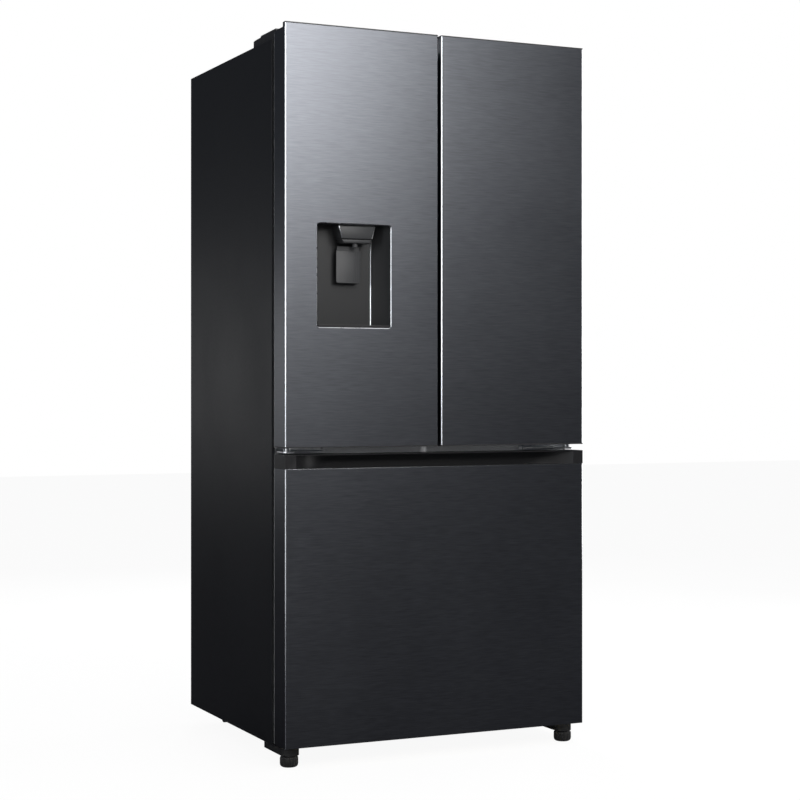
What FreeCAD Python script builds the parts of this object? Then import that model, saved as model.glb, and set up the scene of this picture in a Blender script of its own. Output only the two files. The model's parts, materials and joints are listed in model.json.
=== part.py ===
import FreeCAD, Part
import Sketcher

import math
import os

# A french door refrigerator: two upper doors, a water dispenser in the left one, and a freezer drawer below.
# Frame: millimetres, +Z up, +X to the right as seen from the front, the front faces -Y.
# The origin is on the floor, under the middle of the object's box.

V = FreeCAD.Vector
doc = FreeCAD.newDocument("FrenchDoorRefrigerator")
sheet = doc.addObject("Spreadsheet::Sheet", "Sizes")
nodes = []

DIMENSIONS = {
    # whole object
    "width": 817,
    "depth": 713,
    "height": 1782,
    "sheet_steel": 1,
    "plastic_wall": 2,
    "clearance": 0.3,
    # cabinet
    "cabinet_setback": 90.5,
    "cabinet_base": 47,
    "cabinet_top": 1755,
    "side_wall": 45,
    "ceiling_wall": 52,
    "rear_inset": 3.5,
    "rear_wall": 53,
    "fridge_floor": 807,
    "freezer_roof": 711,
    "freezer_floor": 105,
    "machine_depth": 186,
    "machine_roof": 343,
    "machine_wall": 60,
    "rib_height": 8,
    "rib_width": 12,
    # doors and drawer
    "door_bottom": 767,
    "door_gap": 10,
    "door_thickness": 75.5,
    "skin_wrap": 72.8,
    "cap_lip": 3,
    "cap_plug": 20,
    "top_cap_plug": 36,
    "edge_chamfer": 1,
    "drawer_bottom": 52,
    "drawer_steel_top": 717,
    "drawer_cap_top": 751,
    # hinge line of the doors
    "pivot_inset": 22,
    "pivot_setback": 45,
    "pin_radius": 4,
    "pin_clearance": 0.06,
    "notch_depth": 14,
    "notch_reach": 28.5,
    "notch_inner": 26,
    "hinge_plate": 3,
    "hinge_nose": 11,
    # gaskets
    "gasket_width": 14,
    "gasket_hinge_inset": 30,
    "gasket_free_inset": 8,
    "gasket_top_inset": 37,
    "gasket_bottom_inset": 10,
    "drawer_gasket_bottom": 70,
    "drawer_gasket_top": 745,
    # door inner panels
    "inner_panel": 2.5,
    "dyke_depth": 66,
    "dyke_width": 13,
    "dyke_hinge_inset": 58,
    "dyke_free_inset": 46,
    "dyke_bottom": 825,
    "dyke_top": 1688,
    # dispenser
    "dispenser_left": 80.7,
    "dispenser_right": 277.4,
    "dispenser_low": 1054.5,
    "dispenser_high": 1307.5,
    "dispenser_depth": 56,
    "dispenser_slant": 32,
    "dispenser_wall": 3,
    "dispenser_corner": 8,
    "rim_width": 2.4,
    "spout_centre": 190.5,
    "spout_width": 98,
    "spout_height": 46,
    "lever_width": 64,
    "lever_length": 88,
    "lever_centre": 178,
    "tank_low": 1330,
    "tank_high": 1500,
    # handle recess of the drawer
    "recess_end_wall": 28,
    "recess_depth": 46,
    "recess_floor": 20,
    "recess_lip": 12,
    "recess_sweep": 140,
    # bins, shelves and crispers
    "bin_wall": 2.5,
    "bin_depth": 108,
    "bin_height": 96,
    "bin_low": 1050,
    "bin_middle": 1285,
    "bin_high": 1545,
    "shelf_front": -150,
    "shelf_back": 272,
    "shelf_frame_height": 16,
    "shelf_rim": 22,
    "glass_thickness": 4,
    "crisper_shelf": 1040,
    "lower_shelf": 1240,
    "upper_shelf": 1450,
    "crisper_front": -98,
    "crisper_height": 200,
    "crisper_wall": 3,
    # freezer drawer
    "rail_low": 415,
    "rail_height": 32,
    "rail_length": 480,
    "lower_bin_low": 120,
    "lower_bin_high": 404,
    "upper_bin_low": 452,
    "upper_bin_high": 672,
    "upper_bin_length": 290,
    # flip mullion
    "mullion_reach": 52,
    "mullion_thickness": 10,
    "mullion_pin": 1.5,
    # feet and rollers
    "foot_inset": 30,
    "foot_setback": 52,
    "foot_radius": 22.5,
    "foot_height": 27,
    "bracket_end": 163,
    "bracket_thickness": 18,
    "roller_radius": 19,
    "roller_width": 20,
    "roller_inset": 85,
    "roller_y": 300,
    # machine room
    "compressor_radius": 74,
    "compressor_height": 165,
    "fan_radius": 66,
    "small_fan_radius": 46,
    "tube_radius": 3,
}

for row, (alias, value) in enumerate(DIMENSIONS.items(), start=1):
    sheet.set(f"A{row}", alias)
    sheet.set(f"B{row}", str(value))
    sheet.setAlias(f"B{row}", alias)
doc.recompute()


class Size:
    """A length that knows its number and the formula that ties it to the sheet."""

    def __init__(self, number, formula):
        self.number = number
        self.formula = formula

    def __add__(self, other):
        other = as_size(other)
        return Size(self.number + other.number, f"({self.formula} + {other.formula})")

    def __sub__(self, other):
        other = as_size(other)
        return Size(self.number - other.number, f"({self.formula} - {other.formula})")

    def __rsub__(self, other):
        return as_size(other) - self

    def __mul__(self, other):
        other = as_size(other)
        return Size(self.number * other.number, f"({self.formula} * {other.formula})")

    def __truediv__(self, other):
        other = as_size(other)
        return Size(self.number / other.number, f"({self.formula} / {other.formula})")

    def __neg__(self):
        return Size(-self.number, f"(-1 * {self.formula})")

    __radd__ = __add__
    __rmul__ = __mul__


def as_size(value):
    if isinstance(value, Size):
        return value
    return Size(float(value), f"({float(value)})")


class Dimensions:
    """The sheet's cells by name, as Size values."""

    def __getattr__(self, name):
        return Size(float(sheet.get(name)), f"Sizes.{name}")


d = Dimensions()


# ---------------------------------------------------------------- building blocks


def keep(thing, label):
    """Name a finished sub-part; its label is its node and its file."""
    thing.Label = label
    nodes.append(thing)
    return thing


def place(thing, x, y, z):
    for axis, value in (("x", x), ("y", y), ("z", z)):
        thing.setExpression(f"Placement.Base.{axis}", as_size(value).formula)


def box(name, low, high):
    """A block between two corners."""
    block = doc.addObject("Part::Box", name)
    for side, start, end in zip(("Length", "Width", "Height"), low, high):
        block.setExpression(side, (as_size(end) - start).formula)
    place(block, *low)
    return block


TURN_TO_AXIS = {
    "X": FreeCAD.Rotation(V(0, 1, 0), 90),
    "Y": FreeCAD.Rotation(V(1, 0, 0), -90),
    "Z": FreeCAD.Rotation(),
}


def cylinder(name, axis, start, radius, length):
    """A round bar from its start point along +X, +Y or +Z."""
    bar = doc.addObject("Part::Cylinder", name)
    bar.setExpression("Radius", as_size(radius).formula)
    bar.setExpression("Height", as_size(length).formula)
    bar.Placement = FreeCAD.Placement(V(), TURN_TO_AXIS[axis])
    place(bar, *start)
    return bar


def fuse(name, pieces):
    joined = doc.addObject("Part::MultiFuse", name)
    joined.Shapes = pieces
    return joined


def group(name, pieces):
    """Separate solids that share one node."""
    together = doc.addObject("Part::Compound", name)
    together.Links = pieces
    return together


def cut(name, base, tools):
    remains = doc.addObject("Part::Cut", name)
    remains.Base = base
    remains.Tool = tools[0] if len(tools) == 1 else fuse(f"{name}_tools", tools)
    return remains


def mirror(name, source):
    """The same piece on the other side of the YZ plane."""
    twin = doc.addObject("Part::Mirroring", name)
    twin.Source = source
    twin.Normal = (1, 0, 0)
    return twin


PLANE_ROLE = {"XY": "XY_Plane", "XZ": "XZ_Plane", "YZ": "YZ_Plane"}


def sketch_outline(body, name, plane, outline, offset):
    """A closed polygon sketch whose corners are all tied to the sheet."""
    sketch = body.newObject("Sketcher::SketchObject", name)
    support = next(f for f in body.Origin.OriginFeatures if f.Role == PLANE_ROLE[plane])
    sketch.AttachmentSupport = [(support, "")]
    sketch.MapMode = "FlatFace"
    sketch.setExpression("AttachmentOffset.Base.z", as_size(offset).formula)
    corners = [(as_size(across), as_size(up)) for across, up in outline]
    for (x1, y1), (x2, y2) in zip(corners, corners[1:] + corners[:1]):
        start = V(x1.number, y1.number, 0)
        end = V(x2.number, y2.number, 0)
        sketch.addGeometry(Part.LineSegment(start, end), False)
    tie_corners(sketch, corners)
    return sketch


def tie_corners(sketch, corners):
    count = len(corners)
    for index in range(count):
        sketch.addConstraint(Sketcher.Constraint("Coincident", index, 2, (index + 1) % count, 1))
    for index, (across, up) in enumerate(corners):
        for kind, size, other_axis in (("DistanceX", across, -2), ("DistanceY", up, -1)):
            if abs(size.number) < 1e-9:
                sketch.addConstraint(Sketcher.Constraint("PointOnObject", index, 1, other_axis))
                continue
            number = sketch.addConstraint(Sketcher.Constraint(kind, -1, 1, index, 1, size.number))
            sketch.setExpression(f"Constraints[{number}]", size.formula)


def normal_span(plane, low, high):
    """The span along a plane's normal; the XZ plane's normal points to -Y."""
    if plane == "XZ":
        return -as_size(high), -as_size(low)
    return as_size(low), as_size(high)


def prism(name, plane, outline, low, high):
    """A PartDesign body: one polygon padded from low to high across its plane."""
    body = doc.addObject("PartDesign::Body", name)
    start, end = normal_span(plane, low, high)
    sketch = sketch_outline(body, f"{name}_outline", plane, outline, start)
    pad = body.newObject("PartDesign::Pad", f"{name}_pad")
    pad.Profile = sketch
    pad.setExpression("Length", (end - start).formula)
    doc.recompute()
    return body


def pocket(body, plane, outline, low, high):
    """Cut a polygon out of a body, from high down to low across its plane."""
    volume = body.Shape.Volume
    start, end = normal_span(plane, low, high)
    name = f"{body.Name}_hollow_{len(body.Group)}"
    sketch = sketch_outline(body, f"{name}_outline", plane, outline, end)
    hollow = body.newObject("PartDesign::Pocket", name)
    hollow.Profile = sketch
    hollow.setExpression("Length", (end - start).formula)
    doc.recompute()
    if body.Shape.Volume >= volume - 1e-6:
        raise RuntimeError(f"{name} cuts nothing")
    return hollow


def round_edges(body, radius, wanted, kind="Fillet"):
    """Fillet or chamfer the edges of a body's tip that the test picks out by direction and middle."""
    tip = body.Tip
    names = []
    for index, edge in enumerate(tip.Shape.Edges, start=1):
        if edge.Curve.TypeId != "Part::GeomLine":
            continue
        run = edge.Vertexes[1].Point - edge.Vertexes[0].Point
        run.normalize()
        if wanted(run, edge.CenterOfMass):
            names.append(f"Edge{index}")
    feature = body.newObject(f"PartDesign::{kind}", f"{body.Name}_{kind}_{len(body.Group)}")
    feature.Base = (tip, names)
    feature.setExpression("Radius" if kind == "Fillet" else "Size", as_size(radius).formula)
    doc.recompute()
    return feature


def along(axis):
    """A test for edges that run along one axis."""
    direction = {"X": V(1, 0, 0), "Y": V(0, 1, 0), "Z": V(0, 0, 1)}[axis]
    return lambda run, middle: abs(run.dot(direction)) > 0.999


def rectangle(low, high):
    return [(low[0], low[1]), (high[0], low[1]), (high[0], high[1]), (low[0], high[1])]


def fan(name, centre, axis, radius, hub_radius, depth, blade_count):
    """A fan rotor: a hub on its shaft with blades set at an angle."""
    hub = cylinder(f"{name}_hub", axis, centre, hub_radius, depth)
    blades = []
    blade_pitch = 32
    blade_thickness = 2
    for number in range(blade_count):
        blade = doc.addObject("Part::Box", f"{name}_blade_{number}")
        blade.setExpression("Length", as_size(radius).formula)
        blade.setExpression("Width", (as_size(radius) * 0.62).formula)
        blade.Height = blade_thickness
        spin = FreeCAD.Rotation(V(0, 0, 1), 360 * number / blade_count)
        pitch = FreeCAD.Rotation(V(1, 0, 0), blade_pitch)
        middle = pitch.multVec(V(0, -radius.number * 0.31, -blade_thickness / 2))
        turned = TURN_TO_AXIS[axis].multiply(spin)
        base = turned.multVec(middle + V(0, 0, as_size(depth).number / 2))
        blade.Placement = FreeCAD.Placement(base, turned.multiply(pitch))
        for index, letter in enumerate("xyz"):
            blade.setExpression(
                f"Placement.Base.{letter}", (as_size(centre[index]) + round(base[index], 4)).formula
            )
        blades.append(blade)
    return fuse(name, [hub] + blades)


# ---------------------------------------------------------------- places worked out from the sheet

FRONT = -d.depth / 2
BACK = d.depth / 2
CABINET_FRONT = FRONT + d.cabinet_setback
CABINET_BACK = BACK - d.rear_inset
SIDE = d.width / 2
INNER_SIDE = SIDE - d.side_wall
LINER_SIDE = INNER_SIDE - d.plastic_wall
CEILING = d.cabinet_top - d.ceiling_wall
REAR_FOAM = CABINET_BACK - d.sheet_steel
INNER_BACK = CABINET_BACK - d.rear_wall
MACHINE_FRONT = BACK - d.machine_depth
STEP_FRONT = MACHINE_FRONT - d.machine_wall
STEP_TOP = d.machine_roof + d.machine_wall
DOOR_BACK = FRONT + d.door_thickness
GASKET_BACK = CABINET_FRONT - d.clearance
PIVOT_X = SIDE - d.pivot_inset
PIVOT_Y = FRONT + d.pivot_setback
NOTCH_FLOOR = d.height - d.notch_depth


# ---------------------------------------------------------------- cabinet


def make_cabinet_sheets():
    flange = d.sheet_steel
    outline = [
        (-SIDE, CABINET_FRONT),
        (-INNER_SIDE, CABINET_FRONT),
        (-INNER_SIDE, CABINET_FRONT + flange),
        (-SIDE + flange, CABINET_FRONT + flange),
        (-SIDE + flange, CABINET_BACK),
        (-SIDE, CABINET_BACK),
    ]
    left = prism("side_panel_left", "XY", outline, d.cabinet_base, d.cabinet_top)

    outer = SIDE - flange
    roof = d.cabinet_top - flange
    top = fuse(
        "top_panel",
        [
            box("roof_sheet", (-outer, CABINET_FRONT + flange, roof), (outer, CABINET_BACK, d.cabinet_top)),
            box(
                "roof_flange",
                (-INNER_SIDE, CABINET_FRONT, CEILING),
                (INNER_SIDE, CABINET_FRONT + flange, d.cabinet_top),
            ),
        ],
    )
    keep(group("wrap", [left, mirror("side_panel_right", left), top]), "outer_panels")

    pan_top = d.cabinet_base + flange
    pan = box("pan_sheet", (-outer, CABINET_FRONT + flange, d.cabinet_base), (outer, CABINET_BACK, pan_top))
    pan_flange = box(
        "pan_flange",
        (-INNER_SIDE, CABINET_FRONT, d.cabinet_base),
        (INNER_SIDE, CABINET_FRONT + flange, d.freezer_floor),
    )
    keep(fuse("pan", [pan, pan_flange]), "base_pan")

    back = box(
        "back_sheet",
        (-SIDE + flange, REAR_FOAM, d.machine_roof),
        (SIDE - flange, CABINET_BACK, d.cabinet_top - flange),
    )
    beads = [
        box(
            f"back_bead_{number}",
            (x - 9, CABINET_BACK, d.machine_roof + 90),
            (x + 9, CABINET_BACK + 2, d.cabinet_top - 110),
        )
        for number, x in enumerate((-SIDE * 0.62, as_size(0), SIDE * 0.62))
    ]
    keep(fuse("back", [back] + beads), "back_panel")

    band = box(
        "divider_band",
        (-INNER_SIDE, CABINET_FRONT, d.freezer_roof),
        (INNER_SIDE, CABINET_FRONT + flange, d.fridge_floor),
    )
    keep(band, "divider_front")


def make_foam():
    """Wall slabs between the sheets and the liners, one convex block each."""
    front = CABINET_FRONT + d.sheet_steel
    low = d.cabinet_base + d.sheet_steel
    high = d.cabinet_top - d.sheet_steel
    outer = SIDE - d.sheet_steel
    side = box("foam_side", (-outer, front, low), (-INNER_SIDE, MACHINE_FRONT, high))
    side_rear = box("foam_side_rear", (-outer, MACHINE_FRONT, d.machine_roof), (-INNER_SIDE, REAR_FOAM, high))
    spans = {
        "ceiling": (front, REAR_FOAM, CEILING, high),
        "fridge_back": (INNER_BACK, REAR_FOAM, d.fridge_floor, CEILING),
        "divider": (front, REAR_FOAM, d.freezer_roof, d.fridge_floor),
        "freezer_back": (INNER_BACK, REAR_FOAM, d.machine_roof, d.freezer_roof),
        "floor": (front, STEP_FRONT, low, d.freezer_floor),
        "machine_wall": (STEP_FRONT, MACHINE_FRONT, low, STEP_TOP),
        "machine_ceiling": (MACHINE_FRONT, INNER_BACK, d.machine_roof, STEP_TOP),
    }
    slabs = [
        box(f"foam_{name}", (-INNER_SIDE, y1, z1), (INNER_SIDE, y2, z2))
        for name, (y1, y2, z1, z2) in spans.items()
    ]
    slabs += [side, side_rear, mirror("foam_side_right", side), mirror("foam_side_rear_right", side_rear)]
    keep(group("foam", slabs), "insulation_foam")


def shelf_levels():
    return (d.crisper_shelf, d.lower_shelf, d.upper_shelf)


def make_liners():
    wall = d.plastic_wall
    shell = box("fridge_tub", (-INNER_SIDE, CABINET_FRONT, d.fridge_floor), (INNER_SIDE, INNER_BACK, CEILING))
    room = box(
        "fridge_room",
        (-LINER_SIDE, CABINET_FRONT, d.fridge_floor + wall),
        (LINER_SIDE, INNER_BACK - wall, CEILING - wall),
    )
    tub = cut("fridge_shell", shell, [room])
    ribs = []
    for number, level in enumerate(shelf_levels()):
        top = level - d.shelf_frame_height - d.clearance
        rib = box(
            f"shelf_rib_{number}",
            (-LINER_SIDE, d.shelf_front + 12, top - d.rib_height),
            (-LINER_SIDE + d.rib_width, d.shelf_back, top),
        )
        ribs += [rib, mirror(f"shelf_rib_right_{number}", rib)]
    keep(fuse("fridge", [tub] + ribs), "fridge_liner")

    outer = [
        (CABINET_FRONT, d.freezer_floor),
        (STEP_FRONT, d.freezer_floor),
        (STEP_FRONT, STEP_TOP),
        (INNER_BACK, STEP_TOP),
        (INNER_BACK, d.freezer_roof),
        (CABINET_FRONT, d.freezer_roof),
    ]
    inner = [
        (CABINET_FRONT, d.freezer_floor + wall),
        (STEP_FRONT - wall, d.freezer_floor + wall),
        (STEP_FRONT - wall, STEP_TOP + wall),
        (INNER_BACK - wall, STEP_TOP + wall),
        (INNER_BACK - wall, d.freezer_roof - wall),
        (CABINET_FRONT, d.freezer_roof - wall),
    ]
    freezer = prism("freezer", "YZ", outer, -INNER_SIDE, INNER_SIDE)
    pocket(freezer, "YZ", inner, -LINER_SIDE, LINER_SIDE)
    keep(freezer, "freezer_liner")


def make_shelves():
    """Glass shelves in moulded frames; the lowest one covers the crispers."""
    half = LINER_SIDE - 1.5
    frames = []
    plates = []
    for number, level in enumerate(shelf_levels()):
        low = level - d.shelf_frame_height
        block = box(f"frame_block_{number}", (-half, d.shelf_front, low), (half, d.shelf_back, level))
        well = box(
            f"frame_well_{number}",
            (-half + d.shelf_rim, d.shelf_front + d.shelf_rim, low),
            (half - d.shelf_rim, d.shelf_back - d.shelf_rim, level),
        )
        ledge = 8
        seat_inset = d.shelf_rim - ledge
        seat_low = level - d.glass_thickness - 1
        seat = box(
            f"frame_seat_{number}",
            (-half + seat_inset, d.shelf_front + seat_inset, seat_low),
            (half - seat_inset, d.shelf_back - seat_inset, level),
        )
        frames.append(cut(f"frame_{number}", block, [well, seat]))
        inset = seat_inset + d.clearance
        plates.append(
            box(
                f"glass_{number}",
                (-half + inset, d.shelf_front + inset, seat_low),
                (half - inset, d.shelf_back - inset, seat_low + d.glass_thickness),
            )
        )
    keep(group("frames", frames), "shelf_frames")
    keep(group("plates", plates), "shelf_glass")


def make_crispers():
    """Two open-topped drawers side by side under the lowest shelf."""
    low = d.fridge_floor + d.plastic_wall + 6
    high = low + d.crisper_height
    wall = d.crisper_wall
    near, far = as_size(-12), -(LINER_SIDE - 6)
    front_wall = 14
    tub = box("crisper_tub", (far, d.crisper_front, low), (near, d.shelf_back - 10, high))
    room = box(
        "crisper_room",
        (far + wall, d.crisper_front + front_wall, low + wall),
        (near - wall, d.shelf_back - 10 - wall, high),
    )
    grip = box(
        "crisper_grip",
        (far + 90, d.crisper_front, high - 34),
        (near - 90, d.crisper_front + front_wall - wall, high - 8),
    )
    left = cut("crisper", tub, [room, grip])
    keep(left, "crisper_left")
    keep(mirror("crisper_twin", left), "crisper_right")


def make_fridge_fittings():
    """The cold air duct on the back wall and the ceiling lamp."""
    half = 150
    back = INNER_BACK - d.plastic_wall
    duct = box("duct_block", (-half, back - 13, d.lower_shelf - 140), (half, back, CEILING - 20))
    slots = []
    for level in (d.lower_shelf + 60, d.upper_shelf + 60, CEILING - 90):
        for side in (-1, 1):
            slots.append(
                box(
                    f"duct_slot_{len(slots)}",
                    (as_size(side * 75) - 45, back - 14, level),
                    (as_size(side * 75) + 45, back - 5, level + 14),
                )
            )
    keep(cut("duct", duct, slots), "fridge_duct")
    lamp_top = CEILING - d.plastic_wall
    keep(box("lamp", (-130, -70, lamp_top - 7), (130, 10, lamp_top)), "ceiling_light")


# ---------------------------------------------------------------- hinges, feet and rollers


def make_hinges():
    arm_half = 9
    notch_room = 1
    arm_low = NOTCH_FLOOR + notch_room
    arm_high = arm_low + d.hinge_plate
    # top hinge: a plate on the cabinet roof, a riser, and an arm over the door's notch with a pin
    plate_back = CABINET_FRONT + 120
    foot = box(
        "top_foot",
        (-PIVOT_X - arm_half, CABINET_FRONT + 4, d.cabinet_top),
        (-PIVOT_X + 46, plate_back, d.cabinet_top + d.hinge_plate),
    )
    riser = box(
        "top_riser",
        (-PIVOT_X - arm_half, CABINET_FRONT + 4, d.cabinet_top),
        (-PIVOT_X + arm_half, CABINET_FRONT + 4 + d.hinge_plate, arm_high),
    )
    arm = box(
        "top_arm",
        (-PIVOT_X - arm_half, PIVOT_Y, arm_low),
        (-PIVOT_X + arm_half, CABINET_FRONT + 4 + d.hinge_plate, arm_high),
    )
    eye = cylinder("top_eye", "Z", (-PIVOT_X, PIVOT_Y, arm_low), arm_half, d.hinge_plate)
    pin = cylinder("top_pin", "Z", (-PIVOT_X, PIVOT_Y, arm_high - 20), d.pin_radius, 20)
    left = fuse("top_hinge_left", [foot, riser, arm, eye, pin])
    keep(group("top_hinge_pair", [left, mirror("top_hinge_right", left)]), "top_hinges")

    # cover: a nose over the arm and a stepped body on the roof
    nose_low = arm_high + d.clearance
    cover_top = d.height - 0.5
    nose_top = cover_top - 4.5
    body_front = CABINET_FRONT + 1
    step_y = FRONT + 193
    body_back = FRONT + 249
    left_x = -PIVOT_X - d.hinge_nose
    right_x = -PIVOT_X + 62
    nose = box("cover_nose", (left_x, PIVOT_Y, nose_low), (-PIVOT_X + d.hinge_nose, body_front, nose_top))
    tip = cylinder("cover_tip", "Z", (-PIVOT_X, PIVOT_Y, nose_low), d.hinge_nose, nose_top - nose_low)
    outline = [
        (body_front, d.cabinet_top),
        (body_back, d.cabinet_top),
        (body_back, cover_top - 6.5),
        (body_back - 12, cover_top - 4.5),
        (step_y + 4, cover_top - 3.5),
        (step_y, cover_top),
        (body_front, cover_top),
    ]
    body = prism("cover_body", "YZ", outline, left_x, right_x)
    round_edges(body, 4, lambda run, mid: abs(run.z) > 0.99 and mid.y > step_y.number)
    room = box(
        "cover_room",
        (left_x + 2, body_front, d.cabinet_top),
        (right_x - 2, body_back - 2, cover_top - 10),
    )
    arm_way = box(
        "cover_arm_way",
        (left_x + 1.5, body_front, d.cabinet_top),
        (-PIVOT_X + arm_half + 0.5, body_front + 10, nose_low),
    )
    cover = cut("cover_left", fuse("cover_solid", [nose, tip, body]), [room, arm_way])
    keep(group("covers", [cover, mirror("cover_right", cover)]), "hinge_covers")


def make_middle_hinges():
    """Chrome brackets on the divider: a face plate, an arm to the pivot and the door's lower pin."""
    plate_low = d.drawer_cap_top - 2
    arm_low = d.drawer_cap_top + 3
    arm_thick = 4
    outer = SIDE - 8
    inner = SIDE - 138
    plate = box(
        "mid_plate",
        (-outer, CABINET_FRONT - d.hinge_plate, plate_low),
        (-inner, CABINET_FRONT, plate_low + 24),
    )
    outline = [
        (-outer, CABINET_FRONT - 1),
        (-outer, PIVOT_Y - 9),
        (-outer + 8, PIVOT_Y - 15),
        (-PIVOT_X + 12, PIVOT_Y - 15),
        (-PIVOT_X + 18, PIVOT_Y - 6),
        (-PIVOT_X + 24, CABINET_FRONT - 20),
        (-inner - 6, CABINET_FRONT - 14),
        (-inner - 6, CABINET_FRONT - 1),
    ]
    arm = prism("mid_arm", "XY", outline, arm_low, arm_low + arm_thick)
    pin = cylinder("mid_pin", "Z", (-PIVOT_X, PIVOT_Y, arm_low), d.pin_radius, d.door_bottom - arm_low + 14)
    washer = cylinder("mid_washer", "Z", (-PIVOT_X, PIVOT_Y, arm_low), 9, d.door_bottom - arm_low - 0.5)
    left = fuse("mid_hinge_left", [plate, arm, pin, washer])
    keep(group("mid_hinge_pair", [left, mirror("mid_hinge_right", left)]), "middle_hinges")

    screw_y = CABINET_FRONT - d.hinge_plate - 2.4
    screws = []
    for number, inset in enumerate((104, 128)):
        head = cylinder(f"mid_screw_{number}", "Y", (-SIDE + inset, screw_y, plate_low + 17), 4.2, 2.4)
        screws += [head, mirror(f"mid_screw_right_{number}", head)]
    for number, y in enumerate((CABINET_FRONT + 44, CABINET_FRONT + 92)):
        spot = (-PIVOT_X + 24, y, d.cabinet_top + d.hinge_plate)
        head = cylinder(f"top_screw_{number}", "Z", spot, 5, 3)
        screws += [head, mirror(f"top_screw_right_{number}", head)]
    keep(group("screws", screws), "hinge_screws")


def make_feet():
    """Front levelling feet in their brackets, and rear rollers in yokes."""
    x = -SIDE + d.foot_inset
    y = FRONT + d.foot_setback
    low = d.cabinet_base - 1 - d.bracket_thickness
    stud_radius = 5
    plate = box("bracket_plate", (x - 22, y, low), (x + 24, FRONT + d.bracket_end, low + d.bracket_thickness))
    end = cylinder("bracket_end", "Z", (x + 1, y, low), 23, d.bracket_thickness)
    lug = box("bracket_lug", (x - 22, CABINET_FRONT + 6, low), (x + 24, FRONT + d.bracket_end, d.cabinet_base))
    hole = cylinder("bracket_hole", "Z", (x, y, low - 1), stud_radius + d.pin_clearance, 40)
    bracket = cut("bracket_left", fuse("bracket_solid", [plate, end, lug]), [hole])
    brackets = [bracket, mirror("bracket_right", bracket)]

    knob = cylinder("foot_knob", "Z", (x, y, 4), d.foot_radius, d.foot_height - 5)
    sole = doc.addObject("Part::Cone", "foot_sole")
    sole.setExpression("Radius1", (d.foot_radius - 5).formula)
    sole.setExpression("Radius2", d.foot_radius.formula)
    sole.Height = 4
    place(sole, x, y, 0)
    stud = cylinder("foot_stud", "Z", (x, y, 4), stud_radius, d.cabinet_base - 4 - 2)
    flute_count = 16
    flutes = []
    for number in range(flute_count):
        angle = 2 * math.pi * number / flute_count
        spot = (
            x + (d.foot_radius + 1.2) * round(math.cos(angle), 6),
            y + (d.foot_radius + 1.2) * round(math.sin(angle), 6),
            3,
        )
        flutes.append(cylinder(f"foot_flute_{number}", "Z", spot, 2.6, 30))
    left = cut("foot_left", fuse("foot_solid", [knob, sole, stud]), flutes)
    keep(left, "front_foot_left")
    keep(mirror("foot_right", left), "front_foot_right")

    axle_radius = 4
    roller_x = -SIDE + d.roller_inset
    half = d.roller_width / 2
    cheeks = [
        box(
            f"yoke_cheek_{number}",
            (roller_x + offset, d.roller_y - 13, d.roller_radius - 8),
            (roller_x + offset + 3, d.roller_y + 13, d.cabinet_base),
        )
        for number, offset in enumerate((-half - 4, half + 1))
    ]
    axle = cylinder(
        "yoke_axle", "X", (roller_x - half - 4, d.roller_y, d.roller_radius), axle_radius, d.roller_width + 8
    )
    yoke = fuse("yoke_left", cheeks + [axle])
    keep(group("floor_mounts", brackets + [yoke, mirror("yoke_right", yoke)]), "floor_brackets")
    tread = cylinder("roller_tread", "X", (roller_x - half, d.roller_y, d.roller_radius), d.roller_radius, half * 2)
    bore = cylinder(
        "roller_bore",
        "X",
        (roller_x - half - 1, d.roller_y, d.roller_radius),
        axle_radius + d.pin_clearance,
        half * 2 + 2,
    )
    wheel = cut("roller_left", tread, [bore])
    keep(group("rollers", [wheel, mirror("roller_right", wheel)]), "rear_rollers")


# ---------------------------------------------------------------- machine room and cold side


def serpentine(name, start, run, pitch, rows, radius):
    """A tube bent back and forth in an upright plane, along Y with rows stacked in Z."""
    x, y, z = start
    half = pitch / 2
    edges = []
    for row in range(rows):
        level = z + row * pitch
        ends = (V(x, y, level), V(x, y + run, level))
        if row % 2:
            ends = ends[::-1]
        edges.append(Part.makeLine(*ends))
        if row < rows - 1:
            side = 1 if row % 2 == 0 else -1
            turn = V(x, ends[1].y + side * half, level + half)
            edges.append(Part.Arc(ends[1], turn, ends[1] + V(0, 0, pitch)).toShape())
    path = Part.Wire(edges)
    ring = Part.Wire([Part.makeCircle(radius, V(x, y, z), V(0, 1, 0))])
    tube = doc.addObject("Part::Feature", name)
    tube.Shape = path.makePipeShell([ring], True, False)
    return tube


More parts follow.
